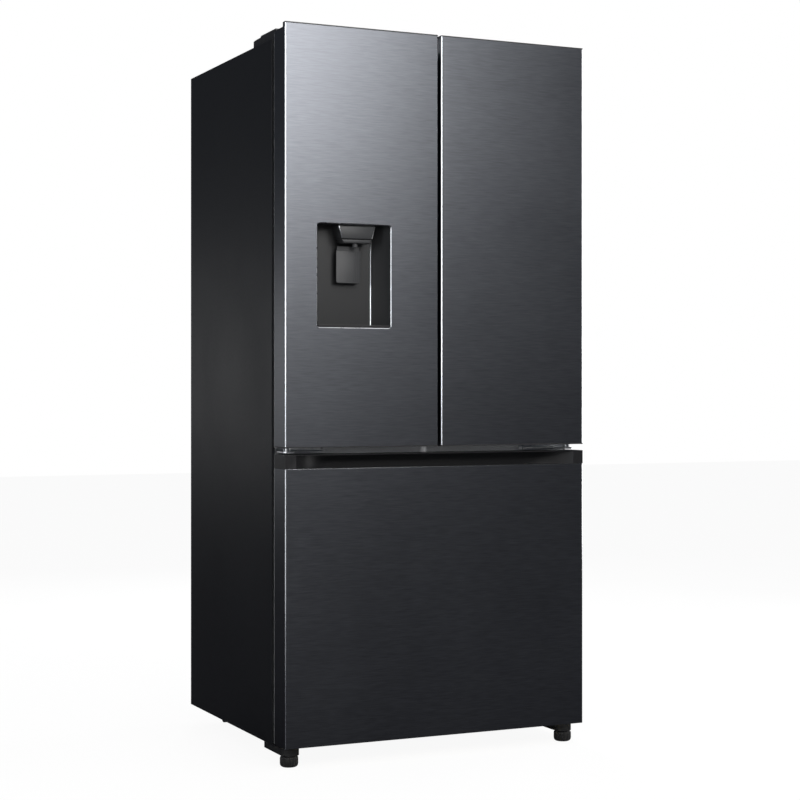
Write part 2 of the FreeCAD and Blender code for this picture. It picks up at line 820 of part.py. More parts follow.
def make_machine_room():
    floor = d.cabinet_base + d.sheet_steel
    x = SIDE - 175
    y = (MACHINE_FRONT + CABINET_BACK) / 2
    pot_low = floor + 24
    radius = d.compressor_radius
    pot = cylinder("pot_wall", "Z", (x, y, pot_low + 22), radius, d.compressor_height - 60)
    domes = []
    for number, (level, height, r_low, r_high) in enumerate(
        (
            (pot_low, 22, radius - 20, radius),
            (pot_low + d.compressor_height - 38, 26, radius, radius - 26),
            (pot_low + d.compressor_height - 12, 10, radius - 26, radius - 54),
        )
    ):
        dome = doc.addObject("Part::Cone", f"pot_dome_{number}")
        dome.setExpression("Radius1", r_low.formula)
        dome.setExpression("Radius2", r_high.formula)
        dome.setExpression("Height", as_size(height).formula)
        place(dome, x, y, level)
        domes.append(dome)
    foot_plate = box("pot_foot", (x - 95, y - 52, pot_low - 4), (x + 95, y + 52, pot_low + 1))
    terminal = box("pot_terminal", (x - radius - 26, y - 24, pot_low + 40), (x - radius + 20, y + 24, pot_low + 100))
    keep(fuse("pot", [pot, foot_plate, terminal] + domes), "compressor")

    grommets = []
    for side in (-1, 1):
        for end in (-1, 1):
            spot = (x + side * 80, y + end * 38, floor)
            grommets.append(cylinder(f"grommet_{len(grommets)}", "Z", spot, 12, 20))
    keep(group("grommet_set", grommets), "compressor_grommets")

    coil_x = (-SIDE + 100).number
    run = (CABINET_BACK - MACHINE_FRONT).number - 70
    coils = [
        serpentine(
            f"condenser_row_{number}",
            (coil_x + 34 * number, MACHINE_FRONT.number + 32, floor.number + 22),
            run,
            26,
            9,
            d.tube_radius.number,
        )
        for number in range(4)
    ]
    keep(group("condenser_coils", coils), "condenser")

    fan_x = as_size(-60)
    fan_z = floor + 135
    plate = box("fan_plate", (fan_x, MACHINE_FRONT + 12, floor), (fan_x + 2, CABINET_BACK - 16, floor + 240))
    mouth = cylinder("fan_mouth", "X", (fan_x - 1, y, fan_z), d.fan_radius + 5, 4)
    motor = cylinder("fan_motor", "X", (fan_x + 26, y, fan_z), 20, 34)
    spokes = [
        box("fan_spoke_level", (fan_x, y - d.fan_radius - 8, fan_z - 4), (fan_x + 2, y + d.fan_radius + 8, fan_z + 4)),
        box("fan_spoke_upright", (fan_x, y - 4, fan_z - d.fan_radius - 8), (fan_x + 2, y + 4, fan_z + d.fan_radius + 8)),
        cylinder("fan_neck", "X", (fan_x, y, fan_z), 11, 30),
        motor,
    ]
    shaft = cylinder("fan_shaft", "X", (fan_x - 26, y, fan_z), 2.5, 30)
    keep(fuse("fan_frame", [cut("fan_ring", plate, [mouth]), shaft] + spokes), "fan_bracket")
    rotor = fan("rotor", (fan_x - 24, y, fan_z), "X", d.fan_radius, as_size(16), as_size(18), 5)
    bore = cylinder("rotor_bore", "X", (fan_x - 40, y, fan_z), 2.5 + d.pin_clearance, 40)
    keep(cut("rotor_bored", rotor, [bore]), "condenser_fan")


def make_machine_cover():
    low = d.cabinet_base + 6
    high = d.machine_roof - 6
    half = SIDE - 14
    front = CABINET_BACK + d.clearance
    sheet_block = box("cover_sheet", (-half, front, low), (half, BACK, high))
    slots = []
    slot_length = 90
    for column in (-300, -190, 60, 170, 280):
        for row in range(9):
            level = low + 46 + row * 24
            slots.append(
                box(
                    f"louvre_{len(slots)}",
                    (as_size(column) - slot_length / 2, front - 1, level),
                    (as_size(column) + slot_length / 2, BACK + 1, level + 8),
                )
            )
    inlet_x = -SIDE + 50
    inlet_z = low + 20
    hole = cylinder("inlet_hole", "Y", (inlet_x, front - 1, inlet_z), 11, 10)
    keep(cut("cover_cut", sheet_block, slots + [hole]), "machine_cover")
    ring = cylinder("gland_ring", "Y", (inlet_x, front - 12, inlet_z), 10.6, BACK - front + 12)
    way = cylinder("gland_way", "Y", (inlet_x, front - 13, inlet_z), 4, 40)
    keep(cut("gland", ring, [way]), "power_gland")


def make_cold_side():
    back = INNER_BACK - d.plastic_wall
    front = back - 62
    low = STEP_TOP + d.plastic_wall + 14
    coil_low = low + 12
    rows = 6
    pitch = 24
    coil_x = 300
    fins = [
        box(f"fin_{number}", (x, front + 12, coil_low), (x + 0.8, back - 6, coil_low + pitch * rows))
        for number, x in enumerate(range(-coil_x, coil_x + 1, 30))
    ]
    tubes = [
        cylinder(f"cold_tube_{row}", "X", (-coil_x - 14, (front + back) / 2 + 3, coil_low + 12 + row * pitch), 4, 628)
        for row in range(rows)
    ]
    keep(fuse("cold_coil", fins + tubes), "evaporator")

    fan_z = d.freezer_roof - 76
    cover = box("cold_plate", (-LINER_SIDE + 1, front, low - 12), (LINER_SIDE - 1, front + 3, d.freezer_roof - 4))
    mouth = cylinder("cold_mouth", "Y", (0, front - 1, fan_z), d.small_fan_radius + 4, 6)
    slots = []
    for column in (-230, -140, 140, 230):
        for row in range(4):
            spot = fan_z - 40 + row * 22
            slots.append(
                box(
                    f"cold_slot_{len(slots)}",
                    (as_size(column) - 32, front - 1, spot),
                    (as_size(column) + 32, front + 4, spot + 9),
                )
            )
    bars = [
        box("cold_bar_level", (-d.small_fan_radius - 8, front, fan_z - 3), (d.small_fan_radius + 8, front + 3, fan_z + 3)),
        box("cold_bar_upright", (-3, front, fan_z - d.small_fan_radius - 8), (3, front + 3, fan_z + d.small_fan_radius + 8)),
        cylinder("cold_shaft", "Y", (0, front, fan_z), 2.5, 34),
    ]
    keep(fuse("cold_cover", [cut("cold_grille", cover, [mouth] + slots)] + bars), "evaporator_cover")
    rotor = fan("cold_rotor", (0, front + 13, fan_z), "Y", d.small_fan_radius, as_size(12), as_size(14), 5)
    bore = cylinder("cold_bore", "Y", (0, front, fan_z), 2.5 + d.pin_clearance, 50)
    keep(cut("cold_rotor_bored", rotor, [bore]), "evaporator_fan")


# ---------------------------------------------------------------- doors

LEFT_EDGE = -SIDE
LEFT_FREE = -d.door_gap / 2
OPENING_LEFT = -SIDE + d.dispenser_left
OPENING_RIGHT = -SIDE + d.dispenser_right


def door_skin(name):
    """A folded steel skin: front sheet with returns along both sides, notched for the upper hinge."""
    steel = d.sheet_steel
    bevel = d.edge_chamfer
    wrap = FRONT + d.skin_wrap
    outline = [
        (LEFT_EDGE + bevel, FRONT),
        (LEFT_FREE - bevel, FRONT),
        (LEFT_FREE, FRONT + bevel),
        (LEFT_FREE, wrap),
        (LEFT_FREE - steel, wrap),
        (LEFT_FREE - steel, FRONT + steel),
        (LEFT_EDGE + steel, FRONT + steel),
        (LEFT_EDGE + steel, wrap),
        (LEFT_EDGE, wrap),
        (LEFT_EDGE, FRONT + bevel),
    ]
    return prism(name, "XY", outline, d.door_bottom + d.cap_lip, d.height - d.cap_lip)


def hinge_notch(name):
    """The room over the door's outer back corner that the upper hinge arm swings through."""
    return box(
        name,
        (LEFT_EDGE - 1, PIVOT_Y - d.notch_reach, NOTCH_FLOOR),
        (-PIVOT_X + d.notch_inner, DOOR_BACK + 5, d.height + 1),
    )


def door_caps(name, notch):
    steel = d.sheet_steel + 0.1
    back = DOOR_BACK - d.inner_panel
    pieces = []
    for end, lip_low, lip_high, plug_low, plug_high in (
        ("top", d.height - d.cap_lip, d.height, d.height - d.top_cap_plug, d.height - d.cap_lip),
        ("bottom", d.door_bottom, d.door_bottom + d.cap_lip, d.door_bottom + d.cap_lip, d.door_bottom + d.cap_plug),
    ):
        lip = box(f"{name}_{end}_lip", (LEFT_EDGE, FRONT, lip_low), (LEFT_FREE, back, lip_high))
        plug = box(
            f"{name}_{end}_plug",
            (LEFT_EDGE + steel, FRONT + steel, plug_low),
            (LEFT_FREE - steel, back, plug_high),
        )
        bore_low = d.height - d.top_cap_plug + 4 if end == "top" else d.door_bottom - 1
        bore_high = d.height if end == "top" else d.door_bottom + d.cap_plug - 2
        bore = cylinder(
            f"{name}_{end}_bore",
            "Z",
            (-PIVOT_X, PIVOT_Y, bore_low),
            d.pin_radius + d.pin_clearance,
            bore_high - bore_low,
        )
        tools = [bore, notch] if end == "top" else [bore]
        pieces.append(cut(f"{name}_{end}", fuse(f"{name}_{end}_solid", [lip, plug]), tools))
    return group(name, pieces)


def foam_span():
    """The lowest and highest corner of a door's foam core."""
    steel = d.sheet_steel
    low = (LEFT_EDGE + steel, FRONT + steel, d.door_bottom + d.cap_plug)
    high = (LEFT_FREE - steel, DOOR_BACK - d.inner_panel, d.height - d.top_cap_plug)
    return low, high


def left_door_foam():
    """Five blocks round the dispenser's housing."""
    low, high = foam_span()
    play = 1
    x1 = OPENING_LEFT - d.dispenser_wall - play
    x2 = OPENING_RIGHT + d.dispenser_wall + play
    z1 = d.dispenser_low - d.dispenser_wall - play
    z2 = d.dispenser_high + d.dispenser_wall + play
    y2 = FRONT + d.dispenser_depth + d.dispenser_wall + play
    corners = [
        (low, (high[0], high[1], z1)),
        ((low[0], low[1], z2), high),
        ((low[0], low[1], z1), (x1, high[1], z2)),
        ((x2, low[1], z1), (high[0], high[1], z2)),
        ((x1, y2, z1), (x2, high[1], z2)),
    ]
    blocks = [box(f"left_foam_{number}", *pair) for number, pair in enumerate(corners)]
    return group("left_foam", blocks)


def door_liner(name):
    """The inner panel with its raised dyke round the bins, and ribs that hold them."""
    panel = box(
        f"{name}_panel",
        (LEFT_EDGE, DOOR_BACK - d.inner_panel, d.door_bottom + 1),
        (LEFT_FREE, DOOR_BACK, NOTCH_FLOOR - 1),
    )
    low = (LEFT_EDGE + d.dyke_hinge_inset, d.dyke_bottom)
    high = (LEFT_FREE - d.dyke_free_inset, d.dyke_top)
    dyke = prism(f"{name}_dyke", "XZ", rectangle(low, high), DOOR_BACK, DOOR_BACK + d.dyke_depth)
    round_edges(dyke, 18, along("Y"))
    inner_low = (low[0] + d.dyke_width, low[1] + d.dyke_width)
    inner_high = (high[0] - d.dyke_width, high[1] - d.dyke_width)
    pocket(dyke, "XZ", rectangle(inner_low, inner_high), DOOR_BACK, DOOR_BACK + d.dyke_depth)
    return fuse(name, [panel, dyke])


def gasket_ring(name, low, high):
    """A magnetic seal round an opening, in a rectangular ring."""
    width = d.gasket_width
    ring = prism(name, "XZ", rectangle(low, high), DOOR_BACK, GASKET_BACK)
    inner_low = (low[0] + width, low[1] + width)
    inner_high = (high[0] - width, high[1] - width)
    pocket(ring, "XZ", rectangle(inner_low, inner_high), DOOR_BACK, GASKET_BACK)
    return ring


def door_gasket(name):
    low = (LEFT_EDGE + d.gasket_hinge_inset, d.door_bottom + d.gasket_bottom_inset)
    high = (LEFT_FREE - d.gasket_free_inset, d.height - d.gasket_top_inset)
    return gasket_ring(name, low, high)


def door_bins(name, levels):
    """Open-topped bins that hang between the sides of the dyke."""
    wall = d.bin_wall
    play = 1
    left = LEFT_EDGE + d.dyke_hinge_inset + d.dyke_width + play
    right = LEFT_FREE - d.dyke_free_inset - d.dyke_width - play
    front = DOOR_BACK + 2
    bins = []
    for number, level in enumerate(levels):
        tub = box(f"{name}_tub_{number}", (left, front, level), (right, front + d.bin_depth, level + d.bin_height))
        room = box(
            f"{name}_room_{number}",
            (left + wall, front + wall, level + wall),
            (right - wall, front + d.bin_depth - wall, level + d.bin_height),
        )
        bins.append(cut(f"{name}_bin_{number}", tub, [room]))
    return group(name, bins)


def make_left_door():
    notch = hinge_notch("left_notch")
    grow = 0.2
    mouth = prism(
        "dispenser_mouth",
        "XZ",
        rectangle((OPENING_LEFT - grow, d.dispenser_low - grow), (OPENING_RIGHT + grow, d.dispenser_high + grow)),
        FRONT - 2,
        FRONT + 5,
    )
    round_edges(mouth, d.dispenser_corner, along("Y"))
    skin = cut("left_skin", door_skin("left_skin_sheet"), [notch, mouth])
    keep(skin, "left_door_skin")
    keep(door_caps("left_caps", notch), "left_door_caps")
    keep(left_door_foam(), "left_door_foam")
    liner = fuse("left_liner", [door_liner("left_liner_tray")] + mullion_ears())
    keep(liner, "left_door_liner")
    keep(door_gasket("left_gasket"), "left_door_gasket")
    keep(door_bins("left_bins", (d.bin_low, d.bin_high)), "left_door_bins")
    make_water_tank()
    make_dispenser()


def make_right_door():
    """The right door mirrors the left one, without the dispenser and with one more bin."""
    notch = hinge_notch("right_notch")
    levels = (d.bin_low, d.bin_middle, d.bin_high)
    sources = {
        "right_door_skin": cut("right_skin", door_skin("right_skin_sheet"), [notch]),
        "right_door_caps": door_caps("right_caps", notch),
        "right_door_foam": box("right_foam", *foam_span()),
        "right_door_liner": door_liner("right_liner"),
        "right_door_gasket": door_gasket("right_gasket"),
        "right_door_bins": door_bins("right_bins", levels),
    }
    for label, source in sources.items():
        keep(mirror(f"{label}_turned", source), label)


def make_water_tank():
    left = LEFT_EDGE + d.dyke_hinge_inset + d.dyke_width + 8
    right = LEFT_FREE - d.dyke_free_inset - d.dyke_width - 8
    front = DOOR_BACK + 2
    wall = d.bin_wall
    depth = d.bin_depth - 8
    tank = prism("tank_body", "XY", rectangle((left, front), (right, front + depth)), d.tank_low, d.tank_high)
    round_edges(tank, 16, along("Z"))
    room = box(
        "tank_room",
        (left + wall + 3, front + wall + 3, d.tank_low + wall),
        (right - wall - 3, front + depth - wall - 3, d.tank_high - wall),
    )
    cap = cylinder("tank_cap", "Z", (left + 60, front + depth / 2, d.tank_high), 24, 9)
    keep(cut("tank", fuse("tank_solid", [tank, cap]), [room]), "water_tank")


def make_dispenser():
    wall = d.dispenser_wall
    depth_back = FRONT + d.dispenser_depth
    outer = [
        (OPENING_LEFT - wall, FRONT + 1.2),
        (OPENING_RIGHT + wall, FRONT + 1.2),
        (OPENING_RIGHT + wall, FRONT + 6),
        (OPENING_RIGHT - d.dispenser_slant + wall, depth_back + wall),
        (OPENING_LEFT - wall, depth_back + wall),
    ]
    inner = [
        (OPENING_LEFT, FRONT),
        (OPENING_RIGHT, FRONT),
        (OPENING_RIGHT, FRONT + 6),
        (OPENING_RIGHT - d.dispenser_slant, depth_back),
        (OPENING_LEFT + 4, depth_back),
        (OPENING_LEFT, FRONT + 30),
    ]
    housing = prism("housing", "XY", outer, d.dispenser_low - wall, d.dispenser_high + wall)
    pocket(housing, "XY", inner, d.dispenser_low, d.dispenser_high)
    keep(housing, "dispenser_housing")

    rim_outline = rectangle((OPENING_LEFT, d.dispenser_low), (OPENING_RIGHT, d.dispenser_high))
    rim = prism("rim", "XZ", rim_outline, FRONT + 0.1, FRONT + 1.1)
    round_edges(rim, d.dispenser_corner, along("Y"))
    hole = prism(
        "rim_hole",
        "XZ",
        rectangle(
            (OPENING_LEFT + d.rim_width, d.dispenser_low + d.rim_width),
            (OPENING_RIGHT - d.rim_width, d.dispenser_high - d.rim_width),
        ),
        FRONT - 1,
        FRONT + 3,
    )
    round_edges(hole, d.dispenser_corner - d.rim_width, along("Y"))
    keep(cut("rim_ring", rim, [hole]), "dispenser_rim")

    centre = -SIDE + d.spout_centre
    half = d.spout_width / 2
    top = d.dispenser_high - 0.2
    bottom = top - d.spout_height
    spout_front = FRONT + 9
    profile = [
        (centre - half, top),
        (centre - half, top - 14),
        (centre - half + 7, bottom + 8),
        (centre - half + 12, bottom),
        (centre + half - 12, bottom),
        (centre + half - 7, bottom + 8),
        (centre + half, top - 14),
        (centre + half, top),
    ]
    nose = prism("spout_body", "XZ", profile, spout_front, depth_back - 0.2)
    round_edges(nose, 5, lambda run, mid: mid.y < spout_front.number + 1 and mid.z < top.number - 1)
    nozzle = cylinder("spout_nozzle", "Z", (centre, FRONT + 24, bottom - 10), 7, 12)
    way = cylinder("spout_way", "Z", (centre, FRONT + 24, bottom - 11), 4, 20)
    keep(cut("spout", fuse("spout_solid", [nose, nozzle]), [way]), "dispenser_spout")

    # lever: a paddle that hangs from a pin behind the nozzle and swings back
    lever_middle = -SIDE + d.lever_centre
    lever_half = d.lever_width / 2
    pivot_z = bottom - 8
    lever_y = FRONT + 35
    paddle = prism(
        "paddle",
        "XZ",
        rectangle((lever_middle - lever_half, pivot_z - d.lever_length), (lever_middle + lever_half, pivot_z - 1)),
        lever_y,
        lever_y + 4,
    )
    round_edges(paddle, 6, lambda run, mid: abs(run.y) > 0.99 and mid.z < pivot_z.number - 40)
    barrel = cylinder("lever_barrel", "X", (lever_middle - lever_half, lever_y + 3, pivot_z), 3, d.lever_width)
    keep(fuse("lever", [paddle, barrel]), "dispenser_lever")

    tray_low = d.dispenser_low + 0.3
    tray_block = prism(
        "tray_body",
        "XY",
        [
            (OPENING_LEFT + 5, FRONT + 3),
            (OPENING_RIGHT - 2, FRONT + 3),
            (OPENING_RIGHT - 2, FRONT + 6),
            (OPENING_RIGHT - d.dispenser_slant - 1, depth_back - 1),
            (OPENING_LEFT + 5, depth_back - 1),
        ],
        tray_low,
        tray_low + 8,
    )
    slots = [
        box(
            f"tray_slot_{number}",
            (OPENING_LEFT + 16 + number * 11, FRONT + 12, tray_low + 3),
            (OPENING_LEFT + 21 + number * 11, depth_back - 10, tray_low + 9),
        )
        for number in range(12)
    ]
    keep(cut("tray", tray_block, slots), "dispenser_tray")


MULLION_X = LEFT_FREE - 26
MULLION_Y = FRONT + 94.5
MULLION_LOW = d.fridge_floor + 14
MULLION_HIGH = CEILING - 16


def mullion_ears():
    """Two ears with pins on the left door's inner panel that carry the flap."""
    play = 0.5
    ears = []
    for number, (ear_z, pin_z) in enumerate(
        ((MULLION_LOW - play - 8, MULLION_LOW - play), (MULLION_HIGH + play, MULLION_HIGH - 14))
    ):
        corner = (MULLION_X - 5, DOOR_BACK - 1, ear_z)
        ears.append(box(f"mullion_ear_{number}", corner, (MULLION_X + 3.5, MULLION_Y + 4, ear_z + 8)))
        ears.append(
            cylinder(f"mullion_pin_{number}", "Z", (MULLION_X, MULLION_Y, pin_z), d.mullion_pin, 14 + play)
        )
    return ears


def make_flip_mullion():
    """The upright flap on the left door's free edge that closes the gap between the doors, folded."""
    left = MULLION_X - 8
    front = MULLION_Y + 4.5
    right = left + d.mullion_thickness
    bar = box("flap_bar", (left, front, MULLION_LOW), (right, front + d.mullion_reach, MULLION_HIGH))
    web = box("flap_web", (MULLION_X - 2, MULLION_Y, MULLION_LOW), (MULLION_X + 2, front + 1, MULLION_HIGH))
    span = MULLION_HIGH - MULLION_LOW
    barrel = cylinder("flap_barrel", "Z", (MULLION_X, MULLION_Y, MULLION_LOW), 3, span)
    bore = cylinder(
        "flap_bore", "Z", (MULLION_X, MULLION_Y, MULLION_LOW - 1), d.mullion_pin + d.pin_clearance, span + 2
    )
    keep(cut("flap", fuse("flap_solid", [bar, web, barrel]), [bore]), "flip_mullion")


# ---------------------------------------------------------------- freezer drawer


def make_drawer():
    steel = d.sheet_steel
    bevel = d.edge_chamfer
    wrap = FRONT + d.skin_wrap
    outline = [
        (-SIDE + bevel, FRONT),
        (SIDE - bevel, FRONT),
        (SIDE, FRONT + bevel),
        (SIDE, wrap),
        (SIDE - steel, wrap),
        (SIDE - steel, FRONT + steel),
        (-SIDE + steel, FRONT + steel),
        (-SIDE + steel, wrap),
        (-SIDE, wrap),
        (-SIDE, FRONT + bevel),
    ]
    keep(prism("drawer_sheet", "XY", outline, d.drawer_bottom, d.drawer_steel_top), "drawer_skin")

    grip_low = d.drawer_steel_top - d.recess_floor
    back = DOOR_BACK - d.inner_panel
    inner = SIDE - steel - 0.1
    upper = box("grip_upper", (-SIDE, FRONT, d.drawer_steel_top), (SIDE, back, d.drawer_cap_top))
    lower = box("grip_lower", (-inner, FRONT + steel + 0.1, grip_low - 3), (inner, back, d.drawer_steel_top))
    reach = -SIDE + d.recess_end_wall
    # each end of the scoop is an arc that meets the front plane at the end wall and the back of the scoop flat
    recess_back = FRONT + d.recess_depth
    arc_run = math.sqrt(d.recess_sweep.number**2 - (d.recess_sweep - d.recess_depth).number ** 2)
    low, high = d.drawer_steel_top + 0.5, d.drawer_cap_top - 2
    flat = box("scoop_flat", (reach + arc_run, FRONT - 60, low), (-reach - arc_run, recess_back, high))
    arc_y = recess_back - d.recess_sweep
    ends = [
        cylinder(f"scoop_end_{number}", "Z", (x, arc_y, low), d.recess_sweep, high - low)
        for number, x in enumerate((reach + arc_run, -reach - arc_run))
    ]
    scoop = fuse("grip_scoop", [flat] + ends)
    well = prism(
        "grip_well",
        "XY",
        rectangle((reach + arc_run, FRONT + d.recess_lip), (-reach - arc_run, recess_back)),
        grip_low,
        d.drawer_steel_top + 1,
    )
    round_edges(well, 14, along("Z"))
    keep(cut("grip", fuse("grip_solid", [upper, lower]), [scoop, well]), "drawer_handle_cap")

    core = box(
        "drawer_core",
        (-inner, FRONT + steel + bevel, d.drawer_bottom + 4),
        (inner, back, grip_low - 3),
    )
    keep(core, "drawer_foam")
    panel = box("drawer_panel", (-SIDE, back, d.drawer_bottom), (SIDE, DOOR_BACK, d.drawer_cap_top))
    half = LINER_SIDE - 24
    pad = prism(
        "drawer_pad",
        "XZ",
        rectangle((-half, d.freezer_floor + 24), (half, d.freezer_roof - 30)),
        DOOR_BACK,
        DOOR_BACK + 8,
    )
    round_edges(pad, 16, along("Y"))
    keep(fuse("drawer_inner", [panel, pad]), "drawer_liner")
    seal_side = SIDE - d.gasket_hinge_inset
    low = (-seal_side, d.drawer_gasket_bottom)
    high = (seal_side, d.drawer_gasket_top)
    keep(gasket_ring("drawer_seal", low, high), "drawer_gasket")


def rail_pair(name, outer, thickness, low, height, front, length):
    """One bar of the telescopic runners on each side."""
    bar = box(f"{name}_bar", (-outer, front, low), (-outer + thickness, front + length, low + height))
    return [bar, mirror(f"{name}_bar_right", bar)]


def make_drawer_inside():
    play = d.clearance
    front = CABINET_FRONT + 10
    low = d.rail_low
    outer_thick = 8
    middle_thick = 5
    inner_thick = 4
    middle_side = LINER_SIDE - outer_thick - play
    inner_side = middle_side - middle_thick - play
    outer = rail_pair("rail_outer", LINER_SIDE, outer_thick, low - 3, d.rail_height + 6, front, d.rail_length)
    keep(group("outer_rails", outer), "freezer_outer_rails")
    middle = rail_pair("rail_middle", middle_side, middle_thick, low, d.rail_height, front, d.rail_length - 40)
    keep(group("middle_rails", middle), "freezer_middle_rails")

    rail_start = DOOR_BACK + 8
    inner_length = front + d.rail_length - 60 - rail_start
    inner = rail_pair("rail_inner", inner_side, inner_thick, low + 4, d.rail_height - 8, rail_start, inner_length)
    tie_y = rail_start + inner_length
    tie = box("frame_tie", (-inner_side, tie_y, low + 4), (inner_side, tie_y + 4, low + d.rail_height - 4))
    ear = box("frame_ear", (-inner_side, rail_start, low - 40), (-inner_side + 30, rail_start + 4, low + 3.8))
    pieces = inner + [tie, ear, mirror("frame_ear_right", ear)]
    keep(group("drawer_rails", pieces), "drawer_frame")

    side = inner_side - inner_thick - 2
    bin_front = rail_start + 5
    make_bin("lower_bin", side, bin_front, STEP_FRONT - 14, d.lower_bin_low, d.lower_bin_high, "freezer_lower_bin")
    upper_back = bin_front + d.upper_bin_length
    make_bin("upper_bin", side, bin_front, upper_back, d.upper_bin_low, d.upper_bin_high, "freezer_upper_bin")


def make_bin(name, side, front, back, low, high, label):
    wall = d.crisper_wall
    tub = prism(f"{name}_tub", "XY", rectangle((-side, front), (side, back)), low, high)
    round_edges(tub, 14, along("Z"))
    room = prism(
        f"{name}_room",
        "XY",
        rectangle((-side + wall, front + wall), (side - wall, back - wall)),
        low + wall,
        high + 1,
    )
    round_edges(room, 11, along("Z"))
    keep(cut(f"{name}_open", tub, [room]), label)


# ---------------------------------------------------------------- build, check and write


def check_document():
    for thing in doc.Objects:
        if "Invalid" in thing.State or "Error" in thing.State:
            raise RuntimeError(f"{thing.Label} failed: {thing.State}")
    for thing in nodes:
        shape = thing.Shape
        if shape.isNull() or not shape.isValid() or not shape.Solids:
            raise RuntimeError(f"{thing.Label} has no valid solid")


def write_parts():
    os.makedirs("parts", exist_ok=True)
    for thing in nodes:
        thing.Shape.exportStep(f"parts/{thing.Label}.step")


make_cabinet_sheets()
make_foam()
make_liners()
make_shelves()
make_crispers()
make_fridge_fittings()
make_hinges()
make_middle_hinges()
make_feet()
make_machine_room()
make_machine_cover()
make_cold_side()
make_left_door()
make_flip_mullion()
make_right_door()
make_drawer()
make_drawer_inside()
doc.recompute()
check_document()
write_parts()
print(len(nodes), "nodes written")
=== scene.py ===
import json
import math

import bmesh
import bpy
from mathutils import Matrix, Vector


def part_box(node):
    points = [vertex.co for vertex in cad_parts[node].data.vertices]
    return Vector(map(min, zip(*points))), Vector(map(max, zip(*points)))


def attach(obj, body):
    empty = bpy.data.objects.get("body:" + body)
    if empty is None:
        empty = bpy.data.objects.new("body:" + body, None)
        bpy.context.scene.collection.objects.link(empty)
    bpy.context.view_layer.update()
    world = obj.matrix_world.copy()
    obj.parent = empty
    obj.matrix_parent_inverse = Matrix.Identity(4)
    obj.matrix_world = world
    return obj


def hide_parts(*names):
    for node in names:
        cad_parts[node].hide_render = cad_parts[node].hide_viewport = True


# A french door refrigerator. Metres, +Z up, the front faces -Y.

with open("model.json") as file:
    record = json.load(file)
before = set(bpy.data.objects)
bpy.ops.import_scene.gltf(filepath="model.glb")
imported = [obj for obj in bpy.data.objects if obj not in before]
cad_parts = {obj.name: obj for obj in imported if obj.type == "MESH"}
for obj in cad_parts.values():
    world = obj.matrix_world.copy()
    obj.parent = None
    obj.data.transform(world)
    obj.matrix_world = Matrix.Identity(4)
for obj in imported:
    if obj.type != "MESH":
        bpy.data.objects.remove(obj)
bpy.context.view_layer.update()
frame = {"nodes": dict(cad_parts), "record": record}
NODE_BODY = {node: body for body, names in frame["record"]["behaviour"]["bodies"].items() for node in names}
NODE_SLOT = {entry["node"]: entry["material_slot"] for entry in frame["record"]["subparts"]}
MM = 0.001
NEAR = 0.1 * MM  # two places closer than this are the same
SECOND = 1  # the number that faces carry for their piece's second material

# the Mix node's sockets for numbers and for colours: first input, second input, result
NUMBER_MIX = (2, 3, 0)
COLOUR_MIX = (6, 7, 2)


# ---------------------------------------------------------------- material tools


class Nodes:
    """A short way to write a material's node tree."""

    def __init__(self, name):
        self.material = bpy.data.materials.new(name)
        self.material.use_nodes = True
        self.tree = self.material.node_tree
        self.shader = self.tree.nodes["Principled BSDF"]
        self.place = self.add("ShaderNodeTexCoord").outputs["Object"]

    def add(self, kind, **settings):
        """A new node with the given settings."""
        node = self.tree.nodes.new(kind)
        for key, value in settings.items():
            setattr(node, key, value)
        return node

    def link(self, output, target):
        """Connect an output socket to an input socket."""
        self.tree.links.new(output, target)

    def set(self, **values):
        """Plain values on the shader's own sockets; the names use _ for spaces."""
        for key, value in values.items():
            self.shader.inputs[key.replace("_", " ")].default_value = value

    def stretched(self, scale):
        """Object coordinates with each axis scaled."""
        mapping = self.add("ShaderNodeMapping")
        self.link(self.place, mapping.inputs["Vector"])
        mapping.inputs["Scale"].default_value = scale
        return mapping.outputs["Vector"]

    def noise(self, scale, detail=3.0, roughness=0.55, stretch=(1, 1, 1)):
        """Noise from 0 to 1, about scale blobs to the metre."""
        texture = self.add("ShaderNodeTexNoise")
        self.link(self.stretched(stretch), texture.inputs["Vector"])
        texture.inputs["Scale"].default_value = scale
        texture.inputs["Detail"].default_value = detail
        texture.inputs["Roughness"].default_value = roughness
        return texture.outputs["Fac"]

    def cells(self, scale):
        """A texture of cells, with a Color and a Distance output."""
        texture = self.add("ShaderNodeTexVoronoi")
        self.link(self.place, texture.inputs["Vector"])
        texture.inputs["Scale"].default_value = scale
        return texture

    def ramp(self, value, low, high, start=0.3, end=0.7):
        """A colour ramp between two colours."""
        ramp = self.add("ShaderNodeValToRGB")
        self.link(value, ramp.inputs["Fac"])
        first, last = ramp.color_ramp.elements
        first.position, last.position = start, end
        first.color = (*low, 1)
        last.color = (*high, 1)
        return ramp.outputs["Color"]

    def span(self, value, low, high, start=0.3, end=0.7):
        """A number that runs from low to high."""
        change = self.add("ShaderNodeMapRange")
        self.link(value, change.inputs["Value"])
        for key, number in (("From Min", start), ("From Max", end), ("To Min", low), ("To Max", high)):
            change.inputs[key].default_value = number
        return change.outputs["Result"]

    def blend(self, first, second, weight=0.5):
        """A mean of two values; weight is the share of the second."""
        mix = self.add("ShaderNodeMix", data_type="FLOAT")
        first_input, second_input, result = NUMBER_MIX
        mix.inputs["Factor"].default_value = weight
        self.link(first, mix.inputs[first_input])
        self.link(second, mix.inputs[second_input])
        return mix.outputs[result]

    def bump(self, height, distance, strength):
        """Relief from a height value; distance is its depth in metres."""
        bump = self.add("ShaderNodeBump")
        self.link(height, bump.inputs["Height"])
        bump.inputs["Distance"].default_value = distance
        bump.inputs["Strength"].default_value = strength
        self.link(bump.outputs["Normal"], self.shader.inputs["Normal"])

    def colour(self, output):
        """Let a colour output drive the surface's colour."""
        self.link(output, self.shader.inputs["Base Color"])

    def roughness(self, output):
        """Let a value drive the surface's roughness."""
        self.link(output, self.shader.inputs["Roughness"])


